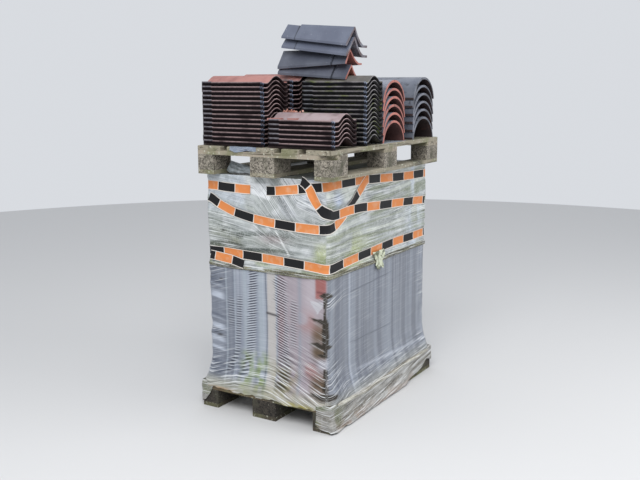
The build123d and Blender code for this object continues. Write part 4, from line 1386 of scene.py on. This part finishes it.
def arch_stack(name, replaced, slot, radius, seed, outside, inside, rim):
    """A pile of half-round tiles on their long edges: rings of three arcs at both ends of a tile."""
    low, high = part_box(replaced)
    rise = (high.z - low.z - radius + arch_foot) / (arch_count - 1)
    angle = math.asin(arch_foot / radius)
    turns = np.linspace(angle, math.pi - angle, arc_points)
    half = (high.x - low.x) / 2 - arch_drift
    points, faces, kinds = [], [], []
    for end in (-half, half):
        arcs = ((radius, bevel_along), (radius - bevel_in, 0.0), (radius - arch_thickness, 0.0))
        for reach, back in arcs:
            for turn in turns:
                x = end - math.copysign(back, end)
                points.append((x, -reach * math.cos(turn), max(reach * math.sin(turn), arch_foot)))
    ring = len(turns)
    right = 3 * ring
    for index in range(ring - 1):
        a, b = index, 2 * ring + index
        faces += [(a, a + 1, right + a + 1, right + a), (b + 1, b, right + b, right + b + 1)]
        # The outer face's lowest band at each foot takes the inside's dark material: painted shade where
        # the tile sits in the one below.
        kinds += [UNDER if index in (0, ring - 2) else FACE, UNDER]
        for side in (0, right):
            for a in (side + index, side + ring + index):
                quad = (a + 1, a, a + ring, a + ring + 1)
                faces.append(quad[::-1] if side else quad)
                kinds.append(EDGE)
    foot = (0, right, right + ring, right + 2 * ring, 2 * ring, ring)
    for index in (0, ring - 1):
        faces.append(tuple(index + at for at in foot))
        kinds.append(EDGE)
    tile = mesh_object(name, points, faces, [])
    at = ((low.x + high.x) / 2, (low.y + high.y) / 2, low.z - arch_foot)
    made = tile_pile(
        replaced, tile, kinds, at, slot,
        Count=arch_count, Pitch=rise, Drift=arch_drift, Turn=arch_turn, Seed=seed,
        Face=outside, Top=outside, Edge=rim, Under=inside, Hook=inside,
    )
    made.data.set_sharp_from_angle(angle=math.radians(40))


def clay(name, first, second, stain, roughness, side=1.0):
    """Fired clay in two shades with stains, and painted shade: darker by a factor where it doesn't face up.
    """
    material, tree, shader = new_material(name, roughness)
    place = object_place(tree)
    colour = mixed(tree, spots(tree, place, 13.0, 0.38, 0.66, 6.0), first, second)
    colour = stained(tree, place, colour, (30.0, 0.58, 0.72, 5.0, 1.0, stain))
    aside = between(tree, normal_part(tree, "Z"), 0.85, 0.55)
    colour = mixed(tree, aside, colour, (side, side, side), "MULTIPLY")
    colour_with(tree, shader, colour)
    return material


# The last number darkens the faces that don't face up: painted shade.
blue_grey = clay(
    "blue_grey_engobe", (0.20, 0.215, 0.26), (0.26, 0.275, 0.325), (0.12, 0.13, 0.16), 0.4, 0.6,
)
dark_engobe = clay(
    "dark_engobe", (0.12, 0.133, 0.17), (0.17, 0.185, 0.225), (0.05, 0.052, 0.065), 0.35, 0.75,
)
red_rim = clay("red_rim", (0.42, 0.155, 0.125), (0.25, 0.10, 0.088), (0.11, 0.055, 0.05), 0.7)
# The insides are dark, partly the bare clay's own colour and partly painted shade.
red_inside = clay("red_inside", (0.060, 0.024, 0.021), (0.09, 0.036, 0.032), (0.03, 0.014, 0.014), 0.8)
grey_rim = clay("grey_rim", (0.15, 0.158, 0.19), (0.042, 0.043, 0.053), (0.02, 0.02, 0.025), 0.45)
dark_inside = clay("dark_inside", (0.030, 0.015, 0.016), (0.018, 0.011, 0.012), (0.06, 0.025, 0.022), 0.8)
arch_stack(
    "half_round_red", "half_round_tiles_red", "red_clay", 0.128, 85,
    blue_grey, red_inside, red_rim,
)
arch_stack(
    "half_round_grey", "half_round_tiles_grey", "engobed_clay", 0.136, 86,
    dark_engobe, dark_inside, grey_rim,
)

# Angular ridge tiles of fired clay, glazed slate-blue outside and bare at the ends and underneath.
# They lie on the crests of the two stacks at the back and lean on one another, and keep their
# solids, with rounded edges.
collar = 0.085
right_end = 0.24


def ridge_material(name, joint, slates, ends):
    """Slate-blue glaze outside, with painted shade in the collar's joint, and bare clay at the right
    ends and underneath."""
    material, tree, shader = new_material(name, 0.33)
    place = object_place(tree)
    along = part_of(tree, place, "X")
    slate = mixed(tree, spots(tree, place, 10.0, 0.4, 0.7, 5.0), *slates)
    slate = stained(tree, place, slate, (120.0, 0.70, 0.74, 4.0, 1.0, (0.35, 0.37, 0.41)))
    # Painted shade: a dark line at the collar's joint, where the tile above overlaps.
    beside = maths(tree, "ABSOLUTE", maths(tree, "SUBTRACT", along, joint))
    in_joint = times(tree, between(tree, beside, 0.006, 0.002), 0.8)
    slate = mixed(tree, in_joint, slate, (0.012, 0.014, 0.02))
    bare = mixed(tree, spots(tree, place, 16.0, 0.4, 0.7, 5.0), *ends)
    at_end = between(tree, along, right_end - 0.005, right_end + 0.005)
    end_face = times(tree, between(tree, normal_part(tree, "X"), 0.8, 0.9), at_end)
    under = between(tree, normal_part(tree, "Z"), -0.1, -0.25)
    colour_with(tree, shader, mixed(tree, maths(tree, "MAXIMUM", end_face, under), slate, bare))
    return material


# The lower two tiles take a darker glaze than the upper two: painted shade.
red_ridge = ridge_material(
    "red_ended_ridge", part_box("angular_ridge_tile_1")[1].x - collar,
    ((0.061, 0.068, 0.091), (0.094, 0.103, 0.131)), ((0.42, 0.155, 0.125), (0.25, 0.085, 0.07)),
)
dark_ridge = ridge_material(
    "dark_ended_ridge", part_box("angular_ridge_tile_4")[0].x + collar,
    ((0.09, 0.102, 0.142), (0.12, 0.135, 0.18)), ((0.09, 0.055, 0.055), (0.20, 0.21, 0.25)),
)
for number, glaze in ((1, red_ridge), (2, red_ridge), (3, dark_ridge), (4, dark_ridge)):
    give([f"angular_ridge_tile_{number}"], glaze)
    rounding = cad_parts[f"angular_ridge_tile_{number}"].modifiers.new("rounding", "BEVEL")
    rounding.width = 0.0015
    rounding.segments = 2

# Broken tile: two shards of pink clay lie on the short stack, and crumbs of it over the crest.
# Geometry nodes put a small rough lump of its own size and turn on each point of a scatter.
give(["broken_tile_pieces"], pink_face)
crumb_clay = clay("crumb_clay", (0.46, 0.16, 0.11), (0.40, 0.20, 0.16), (0.55, 0.36, 0.30), 0.85)
crumb_tree, given = new_nodes("scattered_crumbs", Size="Float", Seed="Int", Clay="Material")
lump_size = {"Radius": given["Size"], "Subdivisions": 1}
lump = node(crumb_tree, "GeometryNodeMeshIcoSphere", lump_size).outputs["Mesh"]
turned = random_part(crumb_tree, given["Seed"], (0, 0, 0), (6.3, 6.3, 6.3))
size_seed = maths(crumb_tree, "ADD", given["Seed"], 100.0)
stretched = random_part(crumb_tree, size_seed, (0.5, 0.4, 0.3), (1.5, 1.2, 0.8))
lumps = realized(crumb_tree, on_points(crumb_tree, given["Base"], lump, Rotation=turned, Scale=stretched))
end_nodes(crumb_tree, with_material(crumb_tree, lumps, given["Clay"]))
random = np.random.default_rng(87)
stack_low, stack_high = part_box("pan_tiles_short_stack")
crest_y, crest_half, crest_span = stack_low.y + 0.183, 0.0175, 0.190
valley = stack_high.z - 0.032
crumb_count, crumb_reach = 38, 0.085
scatter = []
for number in range(crumb_count):
    along, across = crumb_reach * random.random() ** 1.3, random.uniform(-0.030, 0.045)
    rise = crest_half * (1 + math.cos(2 * math.pi * across / crest_span))
    above = valley + rise + random.uniform(0, 0.010) * (number % 3 == 0)
    scatter.append((stack_low.x + 0.006 + along, crest_y + across, above))
grow(mesh_object("clay_crumbs", scatter, [], []), crumb_tree, Size=0.006, Seed=88, Clay=crumb_clay)

# The studio: a plain pale floor, a pale sky from all round, and two soft lamps that face the load,
# one high in front of it and one at its right.
floor_material, tree, shader = new_material("floor", 0.9)
shader.inputs["Base Color"].default_value = (0.62, 0.62, 0.62, 1)
floor_radius, floor_sides = 8, 160
bpy.ops.mesh.primitive_circle_add(vertices=floor_sides, radius=floor_radius, fill_type="NGON")
floor = bpy.context.object
floor.name = "floor"
floor.data.materials.append(floor_material)
world = bpy.data.worlds.new("world")
scene.world = world
world.use_nodes = True
background = world.node_tree.nodes["Background"]
background.inputs["Color"].default_value = (0.92, 0.95, 1.0, 1)
background.inputs["Strength"].default_value = 0.75
lamp_side = 3.0
load_middle = Vector((0, 0, 1.0))
for name, place, power in (("key", (1.5, -3.5, 4.5), 200), ("fill", (4.5, 1.0, 3.0), 80)):
    lamp = bpy.data.lights.new(name, "AREA")
    lamp.size = lamp_side
    lamp.energy = power
    made = bpy.data.objects.new(name, lamp)
    made.location = place
    made.rotation_euler = (load_middle - Vector(place)).to_track_quat("-Z", "Y").to_euler()
    scene.collection.objects.link(made)

# The camera stands where the photograph was taken from: a little above the load, off its
# front right corner, looking slightly down.
camera_place = (2.4573, -4.0558, 1.7397)
camera_yaw, camera_pitch, camera_roll = math.radians(121.42), math.radians(10.573), -0.0032
lens, sensor = 48.19, 36.0
camera_data = bpy.data.cameras.new("camera")
camera_data.lens = lens
camera_data.sensor_width = sensor
camera_data.sensor_fit = "HORIZONTAL"
camera = bpy.data.objects.new("camera", camera_data)
scene.collection.objects.link(camera)
look = Vector((
    math.cos(camera_pitch) * math.cos(camera_yaw),
    math.cos(camera_pitch) * math.sin(camera_yaw),
    -math.sin(camera_pitch),
))
camera.matrix_world = look.to_track_quat("-Z", "Y").to_matrix().to_4x4()
camera.rotation_euler.rotate_axis("Z", camera_roll)
camera.location = camera_place
scene.camera = camera
scene.view_settings.view_transform = "Standard"
